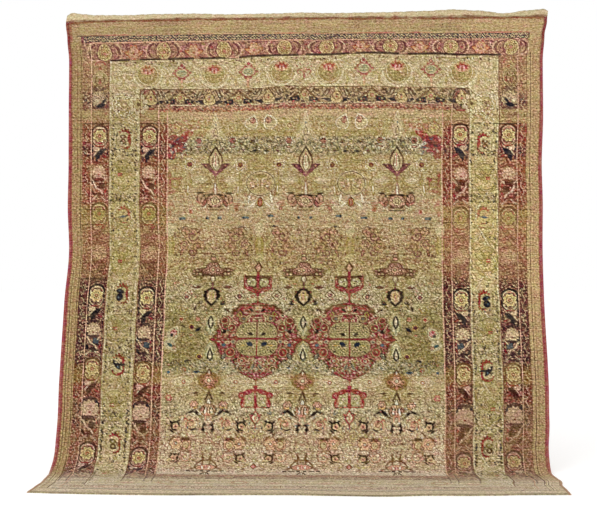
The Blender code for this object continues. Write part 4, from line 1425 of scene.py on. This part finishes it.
for side in (-1, 1):
    put(SIDE_FLOWERS, side * 0.978, 2.530, sides=(side,),
        palette={"ivory": shade_of(192, 176, 132), "cream": DYES["straw"]})
    stamps(60, (side * 0.76, side * 1.04), (2.30, 2.80), 0.0048, "brown sand moss rust", 111, 0.6)

# Below the medallions
stamps(150, (-1.0, 0.0), (2.69, 2.80), 0.0052, "dark moss dark", 121, 0.9, mirror=0.0)
stamps(190, (-1.0, 0.0), (2.69, 2.80), 0.0055, "cream grey_green moss sand", 122, 0.8, mirror=0.0)
at_axes("""
    disc 0 0 84 66 56/44/27; diamond 0 0 74 70 60/44/30; bloom 0 -2 40 6 salmon bark
    disc 50 6 14 12 brown rose; disc 0 -4 14 15 ivory brown; leaf 30 34 22 7 40 salmon brown
    roof 0 -72 24 36 umber; diamond 0 -64 8 12 cream; disc 0 46 18 13 rose rust
    """, A_AXES, 2.858)
for side in (1, -1):
    for x in (0.200, 0.500, 0.893):
        put(f"""
            leaf {-14 if x < 0.3 else 14} 0 88 44 77/69/52 straw; leaf 0 0 56 26 79/71/54 sand
            bloom 0 2 19 6 brick sand; disc 0 2 7 7 cream; disc 44 18 6 4 olive; leaf -40 -20 22 5 20 straw
            """, side * x, 2.864, sides=(side,))
PALM = """
    roof 0 -34 28 62 dark; roof 0 -26 26 60 umber; drop 0 10 26 20 90 umber; drop 0 12 18 13 90 cream
    leaf 99 -55 30 7 dark; disc 96 -58 11 7 umber; disc 0 76 62 50 bark; disc 0 76 56 45 75/60/45
    drop 22 76 34 10 84 cream bark; drop 0 76 36 9 90 pale_pink bark; leaf 42 70 26 8 70 salmon bark
    leaf 0 112 36 8 rose; bloom 110 36 39 7 90 bark; bloom 110 36 33 7 90 74/57/44
    bloom 110 34 18 5 90 pale_pink umber; leaf 112 58 30 5 10 gold; leaf 86 96 34 13 -41 ink
    leaf 130 87 30 10 23 ink; disc 106 80 12 12 ink; leaf 52 122 22 7 -30 umber
    bar 20 132 22 6 90 salmon; leaf 31 206 42 13 86 ink; disc 24 186 15 9 ink; disc 40 222 12 9 ink
    disc 22 204 7 8 pale_pink
"""
at_axes(PALM, A_AXES, 3.005)
ANCHOR = """
    disc 50 24 44 42 71/65/46; box 52 78 52 5 brick; leaf 54 -38 66 19 18 crimson
    disc 104 -12 27 26 crimson; leaf 97 44 48 17 84 crimson; leaf 84 30 30 5 74 salmon
    disc 104 -12 10 10 pink; disc 104 -12 5 5 crimson; disc 97 62 5 8 pink; disc 62 -34 6 5 pink
    box 0 2 11 90 crimson; disc 0 -76 17 14 crimson; disc 0 66 18 15 crimson; disc 0 -20 6 8 pink
    disc 46 14 14 13 cream moss; disc 46 14 6 6 rose; disc 30 46 8 7 moss; disc 62 44 8 7 cream
    diamond 0 158 42 64 madder; diamond 0 158 27 44 ivory; disc 0 160 9 16 salmon
    bar 0 222 20 4 90 madder; disc 38 136 10 8 madder
"""
at_axes(ANCHOR, B_AXES, 2.978)
stamps(170, (-1.02, 0.0), (3.05, 3.26), 0.0050, "dark dark moss", 131, 0.85, mirror=0.0)
stamps(150, (-1.02, 0.0), (3.05, 3.24), 0.0055, "cream ivory slate rose", 132, 0.7, mirror=0.0)
ROUND_SCROLL = """
    bloom 0 0 66 9 76/66/49 sand; hook 0 0 56 4 60 brown; hook 0 0 40 4 240 rose
    bloom 0 2 20 5 salmon brown; roof 38 -36 14 18 brick; leaf -20 44 26 6 20 navy; disc 24 30 6 9 slate
    leaf -44 6 24 5 80 cream; disc 6 -34 6 6 dark
"""
CORNER_FLOWER = """
    disc 0 8 36 38 ink; bloom 3 10 26 5 sand; bloom 3 10 20 5 pink; disc 2 12 7 7 umber
    disc 30 30 17 16 sand; leaf -32 -20 18 9 50 ink; leaf -26 46 24 9 40 ink; leaf 22 -26 20 8 -30 ink
"""
for side in (1, -1):
    for x in (0.130, 0.562, 0.830):
        put(ROUND_SCROLL, side * x, 3.185, sides=(side,), share=0.9)
    for x, lean in ((0.248, 1), (0.452, -1), (0.945, -1)):
        put(CORNER_FLOWER, side * x, 3.192, sides=(side * lean,), palette={"pink": DYES["salmon"]})
LOWER_CLOUD = """
    bloom 160 4 48 5 salmon brown; disc 160 6 26 28 sand rust; bar 160 52 44 4 brown
    leaf 156 -34 30 10 brown; bloom 234 -4 50 6 77/62/46 rust; hook 234 -4 30 3 120 rose
    hook 160 104 44 4 30 rose; bloom 160 104 50 8 - rust; leaf 262 -44 34 9 40 brown
    leaf 208 -72 24 7 60 brown; disc 160 104 14 14 sand brown; disc 234 -4 10 10 cream brown
"""
for axis in A_AXES:
    for side in (1, -1):
        if abs(axis + side * 0.2) < 1.0:
            put(LOWER_CLOUD, axis, 3.335, sides=(side,), share=0.85)
            put(CORNER_FLOWER, axis + side * 0.245, 3.440, sides=(side,),
                palette={"ink": shade_of(70, 44, 36), "pink": DYES["salmon"]})
            put("leaf 0 0 38 9 umber; disc 20 8 12 9 umber; disc -22 8 12 9 umber",
                axis + side * 0.165, 3.293, sides=(side,))
stamps(330, (-1.02, 0.0), (3.25, 3.60), 0.006, "rose_brown umber pale_pink bark sand olive", 141, 0.7,
       mirror=0.0)
at_axes("""
    bar 30 -46 46 6 94 brown; disc 24 -60 9 14 brown; leaf 40 -38 18 7 30 brown; arch 0 40 82 6 brown
    disc 0 34 74 32 salmon brown; drop 26 30 26 10 100 cream rose; drop 0 28 26 9 90 pink rose
    box 24 82 13 11 dark; box 74 84 22 7 dark; box 122 82 16 9 dark; leaf 100 52 22 7 20 brown
    leaf 0 130 34 9 90 cream brown; leaf 22 128 36 7 70 dark
    """, A_AXES, 3.505)
at_axes("""
    diamond 0 0 26 34 rust brown; diamond 0 0 12 17 pink; leaf 66 4 24 6 40 olive
    disc 0 -60 12 12 ivory olive; leaf 70 44 26 6 -30 brown
    """, B_AXES, 3.530)

# The red corner pieces of the field, with gold scroll flowers, and their tails down the sides
SPANDREL = """
    disc -140 -84 60 30 20 66/50/37; disc -90 -84 66 38 65/48/36; disc -20 -90 68 44 65/47/35
    disc -96 -34 56 24 20 red; disc -50 12 60 30 30 madder; disc 12 20 50 50 madder
    disc -8 76 78 32 madder; disc 30 124 36 46 20 madder; hook -150 -86 30 5 sand
    hook -104 -84 30 5 120 rose_brown; hook -110 -96 20 4 olive; bloom -4 -84 46 7 sand bark
    bloom -4 -84 26 6 gold olive; bloom -2 -84 13 5 brick sand; leaf 30 -120 20 6 -40 moss
    disc -28 32 30 16 10 plum; leaf -20 8 24 7 30 slate; leaf 22 60 26 12 navy; disc 44 8 10 14 pink
    leaf -70 72 22 7 slate; disc 30 104 12 14 cream rose; disc -52 82 9 8 cream
    leaf -78 44 24 8 -30 slate cream; disc 0 82 9 7 pink; leaf -130 -66 24 7 30 cream
    leaf -60 -60 30 7 40 olive
"""
TAIL = """
    hook -30 0 46 9 180 madder; disc -60 -40 22 12 20 madder; disc 12 0 14 66 madder
    disc -12 62 40 11 10 madder; disc -30 4 22 26 sand olive; disc 14 -66 16 22 madder
    leaf -50 60 22 7 brick; hook -4 190 26 7 150 rose; disc 4 150 12 22 rose; disc 10 232 13 26 brick
"""
for side in (-1, 1):
    put(SPANDREL, side * 0.998, 0.962, sides=(side,), share=0.80)
    put(TAIL, side * 1.025, 1.315, sides=(side,), share=0.5)
    stamps(130, (side * 0.76, side * 1.05), (0.80, 0.94), 0.006, "rose olive straw brick cream", 151, 0.6)
    stamps(80, (side * 0.88, side * 1.05), (0.95, 1.13), 0.005, "plum cream madder slate", 152, 0.75)
    put("disc 0 0 44 34 -; bloom 0 0 26 6 rose brick; disc 0 0 9 9 sand",
        side * 1.0, 2.985, sides=(side,))

# Where the borders turn: a pale palmette outside, a ray flower in the main border
for side in (-1, 1):
    put("""
        leaf 0 0 88 60 90 63/54/38 sand; leaf 0 8 58 38 90 60/50/35 bark; burst 0 -34 34 8 sand moss
        drop 0 22 30 13 90 60/40/32; leaf 34 60 26 7 40 brown
        """, side * 1.586, 0.488, sides=(side,), share=0.9 if side < 0 else 0.45)
    put("burst 0 0 84 9 78/71/53 moss; burst 0 0 46 7 22 straw brown; disc 0 0 13 13 umber",
        side * 1.284, 0.690, sides=(side,), share=0.9)


def inside(frame_box):
    """Where the design's places lie within a frame."""
    left, right, top, bottom = frame_box
    return (X > left) & (X < right) & (Q > top) & (Q < bottom)


def by_region(in_small, in_main, elsewhere):
    """Colours for each place: one set of rows in the small borders, one in the main, one elsewhere."""
    others = np.where(main[..., None], in_main[:, None, :], elsewhere[:, None, :])
    return np.where(small[..., None], in_small[:, None, :], others)


# Lines that follow the motifs, one outside the other, fill the ground between them
small = (inside(OUTER) & ~inside(MAIN)) | (inside(INNER) & ~inside(INNER_GUARD))
main = inside(MAIN) & ~inside(INNER)
field = inside(FIELD) & (Q > 0.80) & (Q < 3.61)
waviness = 0.45 * fine_hills + 0.55 * hills
spacing = np.where(small, 0.0185, np.where(main, 0.031, 0.034))
phase = (around + np.where(field, 0.0075, 0.0045) * waviness) / spacing
line_away = np.abs((phase + 0.5) % 1.0 - 0.5) * spacing
light_share = np.clip(1.0 - np.abs(phase % 1.0 - 0.30) / 0.22, 0.0, 1.0)
light_tone = by_region(light_rows, 0.5 * main_rows + 0.5 * DYES["cream"],
                       0.35 * field_ground + 0.65 * DYES["cream"])
dark_tone = by_region(dark_rows, 0.45 * main_rows + 0.55 * DYES["moss"], field_curl)
strength = np.where(small, 0.60, np.where(main, 0.38, 0.55)) * (small | main | field)
tint(dye, light_tone, strength * light_share)
drawn = line_away - 0.5 * np.where(small, 0.0045, 0.0055) + np.where(small | main | field, 0.0, 1.0)
closer = drawn < line_gap
line_gap[:] = np.where(closer, drawn, line_gap)
line_dye[:] = np.where(closer[..., None], dark_tone, line_dye)

for side in (-1, 1):
    for near_x, far_x in ((1.505, 1.715), (1.060, 1.255)):
        stamps(120, (side * near_x, side * far_x), (3.555, 3.800), 0.0085, "plum ink rose bark plum sand",
               161, 0.75)

# Broad soft forms, a little browner than the ground
broad = drift(14, 0.045, 0.075, 70)
broad_share = np.where(main, 0.34, np.where(field & (Q < 2.3), 0.24, 0.0)) * (around > 0.0)
tint(dye, shade_of(156, 130, 88), broad_share * ease((-broad - 0.15) / 0.4))
tint(dye, shade_of(206, 186, 144), broad_share * ease((broad - 0.35) / 0.4))

# Filigree: thin pale and dark threads of scrollwork, too fine to follow one by one
threads = drift(26, 0.019, 0.032, 61)
small_or_guard = (inside(GUARD) & ~inside(MAIN)) | (inside(INNER) & ~inside(FIELD))
threads_light = np.where(small_or_guard[..., None], light_rows[:, None, :], light_tone)
threads_dark = np.where(small_or_guard[..., None], dark_rows[:, None, :], dark_tone)
threads_dark = np.where(field[..., None], 0.55 * threads_dark + 0.45 * DYES["umber"], threads_dark)
thread_share = np.where(main, 0.14, np.where(field, np.where(Q < 2.0, 0.34, 0.42), 0.0))
thread_share = np.where(small_or_guard, 0.66, thread_share)
tint(dye, threads_light, thread_share * ease((threads - 0.45) / 0.5))
tint(dye, threads_dark, thread_share * ease((-threads - 0.55) / 0.5))

for chart, x, q, how in plan:
    if how.get("halo") is not None:
        work(chart, x, q, **{**how, "step": "halo"})
    work(chart, x, q, **how)

# The cartouches hold a maze of dark and pale scrolls, and thinner threads cross everything else
maze = drift(26, 0.014, 0.021, 66)
pads = np.zeros(X.shape)
for axis in B_AXES:
    for middle_q in (-0.074, 0.068):
        away_x, away_q = np.abs(X - axis - 0.001) - 0.082, Q - MIDDLE_Q - middle_q
        half_q = -52 if middle_q > 0.0 else 52
        gap = quarter(away_x / MILLIMETRE, away_q / MILLIMETRE, 68, half_q) * MILLIMETRE
        pads = np.maximum(pads, np.clip(0.5 - gap / CELL, 0.0, 1.0))
fine = drift(26, 0.015, 0.026, 67)
fine_share = np.where(small_or_guard, 0.14, np.where(field & (around > 0.0), 0.20, 0.0))
fine_share = np.maximum(0.80 * pads, fine_share)
fine = np.where(pads > 0.5, maze, fine)
pads = pads[..., None]
tint(dye, (1.0 - pads) * threads_light + pads * DYES["sand"], fine_share * ease((fine - 0.35) / 0.5))
tint(dye, (1.0 - pads) * threads_dark + pads * shade_of(66, 60, 34), fine_share * ease((-fine - 0.35) / 0.5))

MAZE_BLOBS = """
    leaf 50 -42 20 13 -10 ink; disc 40 -36 10 8 ink; bar 116 -96 12 3 ink; bar 104 -102 8 3 90 ink
    disc 28 -46 8 6 ivory; leaf 54 38 28 17 -24 16/18/25; disc 42 50 11 9 16/18/25; disc 30 62 8 7 ivory
    leaf 104 48 18 6 gold; leaf 112 96 16 5 40 ink
"""
for axis in B_AXES:
    work(MAZE_BLOBS, axis + 0.001, MIDDLE_Q)

frame_lines(GUARD, 0.004, "brown", 0.004, "rose", "rose")
frame_lines(OUTER, 0.006, "pale_pink", 0.004, "salmon", "salmon")
frame_lines(MAIN, 0.007, (0.50, 0.33, 0.25), 0.004, "bark", "plum")
frame_lines(INNER, 0.006, (0.50, 0.35, 0.26), 0.004, "bark", "plum")
frame_lines(INNER_GUARD, 0.008, "pale_pink", 0.005, "ivory", "salmon")
frame_lines(FIELD, 0.008, "pale_pink", 0.005, "tan", "tan")
for across, shade, top, width in ((-1.732, "umber", 0.22, 5), (-1.744, "straw", 0.30, 3),
                                  (-1.762, "brown", 0.22, 4), (-1.782, "umber", 2.0, 5),
                                  (-1.772, "straw", 1.9, 3), (1.720, "straw", 0.22, 4),
                                  (1.734, "umber", 0.30, 5), (1.756, "brown", 0.22, 4),
                                  (1.776, "straw", 1.9, 3)):
    rule(across, across, top, 4.24, width * MILLIMETRE, colour_of(shade))
for q_at, left, right in ((0.843, -1.71, -1.49), (0.846, -1.47, -1.40), (0.845, -1.36, -1.25),
                          (0.842, -1.24, -1.07), (0.858, 1.13, 1.26), (0.842, 1.30, 1.36),
                          (0.845, 1.42, 1.66), (2.06, -1.70, -1.52)):
    rule(left, right, q_at, q_at, 0.008, colour_of("dark"))

# Short strokes in every colour, as the knots of worn wool show them
strokes = np.tanh(0.8 * drift(26, 0.015, 0.030, 62))
grain = np.random.default_rng(68).normal(size=X.shape)
dye *= (1.0 + np.where(Q > 0.325, 0.10, 0.04) * strokes + np.where(Q > 0.20, 0.05, 0.03) * grain)[..., None]

# The browns are yellow and the creams cool, so the contrast is spread about a middle tone
MIDDLE_TONE = np.array([0.645, 0.535, 0.400])
SPREAD = np.array([1.10, 1.10, 1.26])
low_down = np.where(Q > 0.20, 1.0, 0.0)[..., None]
dye += (dye - MIDDLE_TONE) * (SPREAD - 1.0) * low_down
line_dye += (line_dye - MIDDLE_TONE) * (SPREAD - 1.0) * low_down

# Some stretches are made a little darker or paler than the rest
dye *= (1.0 - 0.045 * (main & (X < 0.0) & (Q > 0.7) & (Q < 3.2))
        - 0.035 * (main & (X > 0.0) & (Q > 2.2) & (Q < 3.1)))[..., None]
dye *= (1.0 + 0.055 * field * ease((Q - 2.95) / 0.25) - 0.02 * (field & (Q > 2.05) & (Q < 2.83))
        - 0.05 * (field & (np.abs(X) > 0.72) & (Q > 2.33) & (Q < 2.78))
        + 0.05 * ((Q > 0.68) & (Q < 0.80) & (np.abs(X) < 1.12)))[..., None]
dye *= (1.0 + 0.05 * ease((X - 0.9) / 0.6) * (1.0 - ease((Q - 2.1) / 0.3)))[..., None]
dye *= (1.0 + 0.05 * ease((X - 0.9) / 0.3) * ease((Q - 1.4) / 0.2) * (1.0 - ease((Q - 2.5) / 0.3)))[..., None]
dye *= (1.0 - 0.04 * (1.0 - ease((X + 1.1) / 0.5)) * (1.0 - ease((Q - 1.0) / 0.4)))[..., None]
dye *= (1.0 - 0.025 * field * ease((Q - 0.95) / 0.1) * (1.0 - ease((Q - 2.1) / 0.2)))[..., None]
bleached = small * ease((X - 0.9) / 0.2) * ease((Q - 1.48) / 0.12) * (1.0 - ease((Q - 2.00) / 0.12))
tint(dye, shade_of(186, 150, 112), 0.30 * bleached)
tint(line_dye, shade_of(170, 128, 98), 0.30 * bleached)
browned = small_or_guard * ease((X - 0.9) / 0.2) * ease((Q - 2.98) / 0.16)
tint(dye, shade_of(158, 124, 88), 0.34 * browned)
tint(line_dye, shade_of(150, 112, 84), 0.20 * browned)

# Worn places let the beige ground show through the design
worn = np.clip(drift(14, 0.08, 0.5, 15) * 0.5, 0.0, 1.0) * 0.22
fine_wear = np.clip(drift(10, 0.02, 0.05, 16), 0.0, 1.0) * 0.06
worn_share = np.clip(worn + fine_wear, 0.0, 0.35) * (Q > 0.09)
tint(dye, shade_of(182, 158, 116), worn_share)
edge_share = ease((np.abs(X) - grid_across[-1] + 0.013) / 0.008) * (1.0 - ease((Q - 3.45) / 0.2))
lower_part = ease((Q - 0.55) / 0.5)
edge_dye = (np.array([140, 88, 68]) + lower_part[..., None] * np.array([10, -22, -4])) / 255.0
tint(dye, edge_dye, (0.45 + 0.30 * lower_part) * edge_share)
# Painted sheen: from 3.5 m along, over the sweep and the part on the floor, the colours turn pale and greyish
# for the light the pile catches at a grazing angle
tint(dye, shade_of(216, 202, 176), 0.69 * ease((Q - 3.50) / 0.45))
along_line = ease((Q - 3.58) / 0.10) * (1.0 - ease((Q - 3.88) / 0.12))
for line_x in (-1.716, -1.662, -1.497, -1.268, -1.112, -1.055, 1.052, 1.108, 1.262, 1.492, 1.655, 1.708):
    tint(dye, shade_of(84, 62, 60), 0.60 * along_line * np.exp(-((X - line_x) / 0.0055) ** 2))
slow = drift(8, 0.5, 1.6, 69)
STREAKS = ((0.023, 2.0), (0.037, 1.7), (0.061, 1.2), (0.110, 0.8))
streak = sum(np.cos(2.0 * math.pi * Q / wide + turn * slow) for wide, turn in STREAKS)
dye *= (1.0 + 0.055 * streak * ease((Q - 3.70) / 0.2))[..., None]
tint(dye, shade_of(118, 100, 66), 0.6 * ease((Q - LENGTH + 0.035) / 0.02))
darkness = 1.0 - np.clip(dye.mean(axis=-1) / 0.62, 0.0, 1.0)

# A line's wear: its colour leans to the dye under it
line_mix = dye + (line_dye - dye) * (0.95 - 0.5 * worn_share[..., None])
# Each colour is set off against its neighbours, as sheared and washed wool shows it
cover = np.clip(0.5 - line_gap / CELL, 0.0, 1.0)[..., None]
shown = dye + (line_mix - dye) * cover
soft = shown.copy()
for axis in (0, 1):
    ahead, behind = np.roll(soft, 1, axis=axis), np.roll(soft, -1, axis=axis)
    soft = 0.5 * soft + 0.25 * (ahead + behind)
contrast = shown - soft
dye += contrast
line_mix += contrast

# The lamp makes the cloth a sixth brighter than its dyes, so they are laid that much deeper
LIGHT_SHARE = 0.84
nearness = np.clip(0.5 - line_gap / (2.0 * REACH), 0.0, 1.0)
front_dye = np.concatenate([LIGHT_SHARE * linear(np.clip(dye, 0, 1)), speckle[..., None]], axis=-1)
front_line = np.concatenate([LIGHT_SHARE * linear(np.clip(line_mix, 0, 1)), nearness[..., None]], axis=-1)
back_tone = shade_of(168, 150, 122)
back_dye = np.concatenate([linear(dye * 0.62 + back_tone * 0.38), speckle[..., None] * 0.8], axis=-1)
back_line = np.concatenate([linear(line_mix * 0.62 + back_tone * 0.38), nearness[..., None]], axis=-1)

# Places on the real cloth: the upper border follows the slant of the pile line
down = grid_along[:, None]
line_up = pile_line(grid_across) + PILE_STEP - 0.0015
stretch = np.clip((down - PILE_TOP) / (END_FADE - PILE_TOP), 0.0, 1.0)
cloth_along = np.where(down < END_FADE, line_up + stretch * (END_FADE - line_up), down)
cloth_across = np.broadcast_to(grid_across, cloth_along.shape)
thickness = PILE_THICKNESS - 0.0008 * darkness + 0.00025 * drift(24, 0.012, 0.03, 17)
thickness = thickness * (0.72 + 0.28 * np.clip((down - PILE_TOP) / 0.012, 0.0, 1.0))
soft_waves = 0.0014 * drift(8, 0.35, 0.9, 18) * ease((down - 0.05) / 0.3) * (1.0 - ease((down - 3.3) / 0.4))
pile_front = hang(cloth_across, cloth_along, thickness + soft_waves)
pile_back = hang(cloth_across, cloth_along, soft_waves)

pile = cloth_material("wool pile", 0.12, display(176, 154, 112), 0.0011, 0.92, 0.03)
knot_backs = cloth_material("knot backs", 0.20, display(176, 160, 132), 0.0007, 0.9, 0.05)

SIDE_COLUMNS = 110
TOP_ROWS = 112
UPPER_ROWS = 206
LOWER_ROWS = 208
MIDDLE_COLUMNS = PILE_COLUMNS - SIDE_COLUMNS
row_marks = (0, TOP_ROWS, TOP_ROWS + UPPER_ROWS, TOP_ROWS + UPPER_ROWS + LOWER_ROWS, PILE_ROWS)
PANELS = {
    # the parts of the one cloth: first and last row, first and last column of the grid
    "border_left": (0, PILE_ROWS, 0, SIDE_COLUMNS),
    "border_right": (0, PILE_ROWS, MIDDLE_COLUMNS, PILE_COLUMNS),
    "border_top": (row_marks[0], row_marks[1], SIDE_COLUMNS, MIDDLE_COLUMNS),
    "field_upper": (row_marks[1], row_marks[2], SIDE_COLUMNS, MIDDLE_COLUMNS),
    "field_lower": (row_marks[2], row_marks[3], SIDE_COLUMNS, MIDDLE_COLUMNS),
    "border_bottom": (row_marks[3], row_marks[4], SIDE_COLUMNS, MIDDLE_COLUMNS),
}
for name, (top, bottom, left, right) in PANELS.items():
    part = (slice(top, bottom + 1), slice(left, right + 1))
    thin = (slice(top, bottom + 1, 2), slice(left, right + 1, 2))
    places = np.stack([cloth_across[part], cloth_along[part]], axis=-1)
    panel = closed_slab(name, pile_front[part], pile_back[thin], (front_dye[part], front_line[part]),
                        (back_dye[thin], back_line[thin]), places, [pile, knot_backs])
    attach(panel, "root")
    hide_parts("rug")

# ---------------------------------------------------------------------------------------------
# The side edges: cords at both long sides, wrapped round and round with red wool, which has
# worn pale in places. Each is flat behind, crowned in front, and sewn on beside the pile.
# ---------------------------------------------------------------------------------------------
EDGE_THICKNESS = 0.011
WRAP_PITCH = 0.0062
EDGE_ROWS = 2100
EDGE_ROUND = 8

red_wool = cloth_material("wrapped wool", 0.18, display(190, 140, 120), 0.0012, 0.9, 0.10)


def wrapped_edge(name, node_name, side, seed):
    """A crowned strip beside the pile: a half ellipse in front, flat behind, ridged by each turn.

    Around, the angle goes from the inner side over the crown to the outer side. Along, the crown
    rises and falls by a tenth with each turn of wool, which slants a little.
    """
    chance = np.random.default_rng(seed)
    inner, half = pile_side + EDGE_GAP, 0.5 * EDGE_WIDTH - 0.0002
    start = float(pile_line(np.array(side * inner))) + PILE_STEP
    along = np.linspace(start, LENGTH, EDGE_ROWS + 1)[:, None]
    angle = np.concatenate([np.linspace(0.0, math.pi, EDGE_ROUND - 1), [math.pi * 1.25]])[None, :]
    around = np.cos(angle) * np.where(angle > math.pi, 0.0, 1.0)
    ridge = np.abs(np.sin(math.pi * (along + 0.0025 * around) / WRAP_PITCH)) ** 0.7
    knocked = np.interp(along[:, 0], np.linspace(0, LENGTH, 90), chance.uniform(-1.0, 1.0, 90))[:, None]
    crown = EDGE_THICKNESS * (0.80 + 0.08 * knocked) + 0.0011 * ridge
    across = side * (inner + half - around * half * (0.965 + 0.035 * ridge))
    along = np.broadcast_to(along, across.shape)
    lift = np.where(angle > math.pi, 0.0, crown * np.clip(np.sin(angle), 0.0, None) ** 0.8 + 0.0002)
    points = hang(across, along, lift)
    rows, columns = points.shape[:2]
    index = np.arange(rows * columns).reshape(rows, columns)
    after = np.roll(index, -1, axis=1)
    quads = np.stack([index[:-1], after[:-1], after[1:], index[1:]], axis=-1).reshape(-1, 4)
    quads = quads[:, ::-1] if side > 0 else quads
    caps = [index[0][::-1] if side < 0 else index[0], index[-1] if side < 0 else index[-1][::-1]]
    mesh = bpy.data.meshes.new(name)
    mesh.from_pydata(points.reshape(-1, 3).tolist(), [], quads.tolist() + [cap.tolist() for cap in caps])
    corner = np.empty(len(mesh.loops), dtype=np.int32)
    mesh.loops.foreach_get("vertex_index", corner)
    at_row, at_column = corner // columns, corner % columns
    # Four strips side by side in the map, each a quarter of the length, so the wraps stay fine in it
    wall = 4 * len(quads)
    wall_column = at_column[:wall].reshape(-1, 4)
    over_seam = (wall_column == 0) & (wall_column.max(axis=1, keepdims=True) == columns - 1)
    steps_round = (wall_column + np.where(over_seam, columns, 0)).ravel()
    wall_strip = np.minimum(at_row[:wall] * 4 // rows, 3).reshape(-1, 4)
    strip = np.repeat(wall_strip.min(axis=1), 4)
    quarter_rows = rows / 4.0
    place = np.zeros((len(corner), 2))
    place[:wall, 0] = strip * 0.25 + 0.01 + 0.22 * steps_round / columns
    place[:wall, 1] = 0.01 + 0.975 * (at_row[:wall] - strip * quarter_rows) / (quarter_rows + 1.0)
    place[wall:, 0] = 0.24 + 0.005 * np.cos(at_column[wall:])
    place[wall:, 1] = 0.5 + 0.005 * np.sin(at_column[wall:])
    write_map(mesh, "OFBake", place)
    write_map(mesh, "cloth", np.stack([(across + 0.004 * angle).ravel(), along.ravel()], axis=-1)[corner])
    red, pale_red = shade_of(156, 66, 68), shade_of(188, 130, 114)
    fade = np.interp(along[:, 0], np.linspace(0, LENGTH, 160), chance.uniform(0.0, 1.0, 160))[:, None]
    faded = 0.55 * fade ** 2 + 0.22 * ease((along - 2.5) / 0.5)
    colour = red + (pale_red - red) * faded[..., None]
    tint(colour, shade_of(128, 66, 52), 0.70 * ease((0.34 - along) / 0.10))
    # Painted sheen: from 3.45 m along, where the edge sweeps out over the floor, the wrapping turns pale
    # beige for the light the wool catches at a grazing angle
    tint(colour, shade_of(184, 156, 122), 0.85 * ease((along - 3.45) / 0.30))
    # Painted shade: the colour darkens in the grooves between the turns of wool, to 0.72 of it at the bottom
    # of each groove
    colour = linear(np.clip(colour * (0.72 + 0.28 * ridge)[..., None], 0, 1))
    painted = np.concatenate([colour, np.full(points.shape[:2] + (1,), 0.6)], axis=-1)
    write_paint(mesh, "dye", painted)
    write_paint(mesh, "line", np.broadcast_to(NO_LINE, painted.shape))
    mesh.materials.append(red_wool)
    mesh.shade_smooth()
    mesh.set_sharp_from_angle(angle=math.radians(60.0))
    piece = in_scene(name, mesh)
    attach(piece, "root")
    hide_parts(node_name)


wrapped_edge("edge_left", "selvage_left", -1, 3)
wrapped_edge("edge_right", "selvage_right", 1, 4)

# ---------------------------------------------------------------------------------------------
# The setting: a plain pale floor, white surroundings and soft light, with the camera where the
# photographer stood, 10.9 m away and a little to the right of the middle.
# ---------------------------------------------------------------------------------------------
CAMERA_PLACE = (0.2656, -10.85, -1.6905)
CAMERA_YAW = -0.0283
CAMERA_PITCH = -0.0238
CAMERA_ROLL = 0.0016
FOCAL_PIXELS = 1406.1
PHOTO_WIDTH = 597.0
SENSOR = 36.0
FLOOR_SIZE = 60.0

floor_level = cad_box[0][2]
floor_mesh = bpy.data.meshes.new("floor")
corner = 0.5 * FLOOR_SIZE
floor_mesh.from_pydata([(-corner, -corner, floor_level), (corner, -corner, floor_level),
                        (corner, corner, floor_level), (-corner, corner, floor_level)], [], [(0, 1, 2, 3)])
floor = in_scene("floor", floor_mesh)
floor_paint = bpy.data.materials.new("pale floor")
floor_paint.use_nodes = True
floor_shader = floor_paint.node_tree.nodes["Principled BSDF"]
for socket, value in (("Base Color", (0.93, 0.93, 0.93, 1.0)), ("Roughness", 0.9),
                      ("Specular IOR Level", 0.0), ("Emission Color", (1.0, 1.0, 1.0, 1.0)),
                      ("Emission Strength", 0.14)):
    floor_shader.inputs[socket].default_value = value
floor_mesh.materials.append(floor_paint)

surround = bpy.data.worlds.new("white room")
surround.use_nodes = True
surround.node_tree.nodes["Background"].inputs["Color"].default_value = (1.0, 1.0, 1.0, 1.0)
surround.node_tree.nodes["Background"].inputs["Strength"].default_value = 1.0
bpy.context.scene.world = surround
bpy.context.scene.view_settings.view_transform = "Standard"


def soft_light(name, place, aim, size, power):
    """A large square lamp at a place, facing another."""
    lamp = bpy.data.lights.new(name, "AREA")
    lamp.size = size
    lamp.energy = power
    made = in_scene(name, lamp)
    made.location = place
    away = np.array(place) - np.array(aim)
    yaw = math.atan2(away[0], -away[1])
    tilt = math.atan2(math.hypot(away[0], away[1]), away[2])
    made.rotation_euler = (tilt, 0.0, yaw)


soft_light("key", (-4.0, -7.0, 2.5), (0.0, -0.5, -2.0), 5.0, 160.0)

camera_data = bpy.data.cameras.new("camera")
camera_data.sensor_width = SENSOR
camera_data.sensor_fit = "HORIZONTAL"
camera_data.lens = FOCAL_PIXELS / PHOTO_WIDTH * SENSOR
camera = in_scene("camera", camera_data)
camera.location = CAMERA_PLACE
camera.rotation_mode = "QUATERNION"
ahead = Vector((math.sin(CAMERA_YAW) * math.cos(CAMERA_PITCH),
                math.cos(CAMERA_YAW) * math.cos(CAMERA_PITCH), math.sin(CAMERA_PITCH)))
level = Vector((math.cos(CAMERA_YAW), -math.sin(CAMERA_YAW), 0.0))
up = level.cross(ahead)
right_hand = level * math.cos(CAMERA_ROLL) + up * math.sin(CAMERA_ROLL)
upward = up * math.cos(CAMERA_ROLL) - level * math.sin(CAMERA_ROLL)
turned_to = Matrix((right_hand, upward, -ahead)).transposed()
camera.rotation_quaternion = turned_to.to_quaternion()
bpy.context.scene.camera = camera
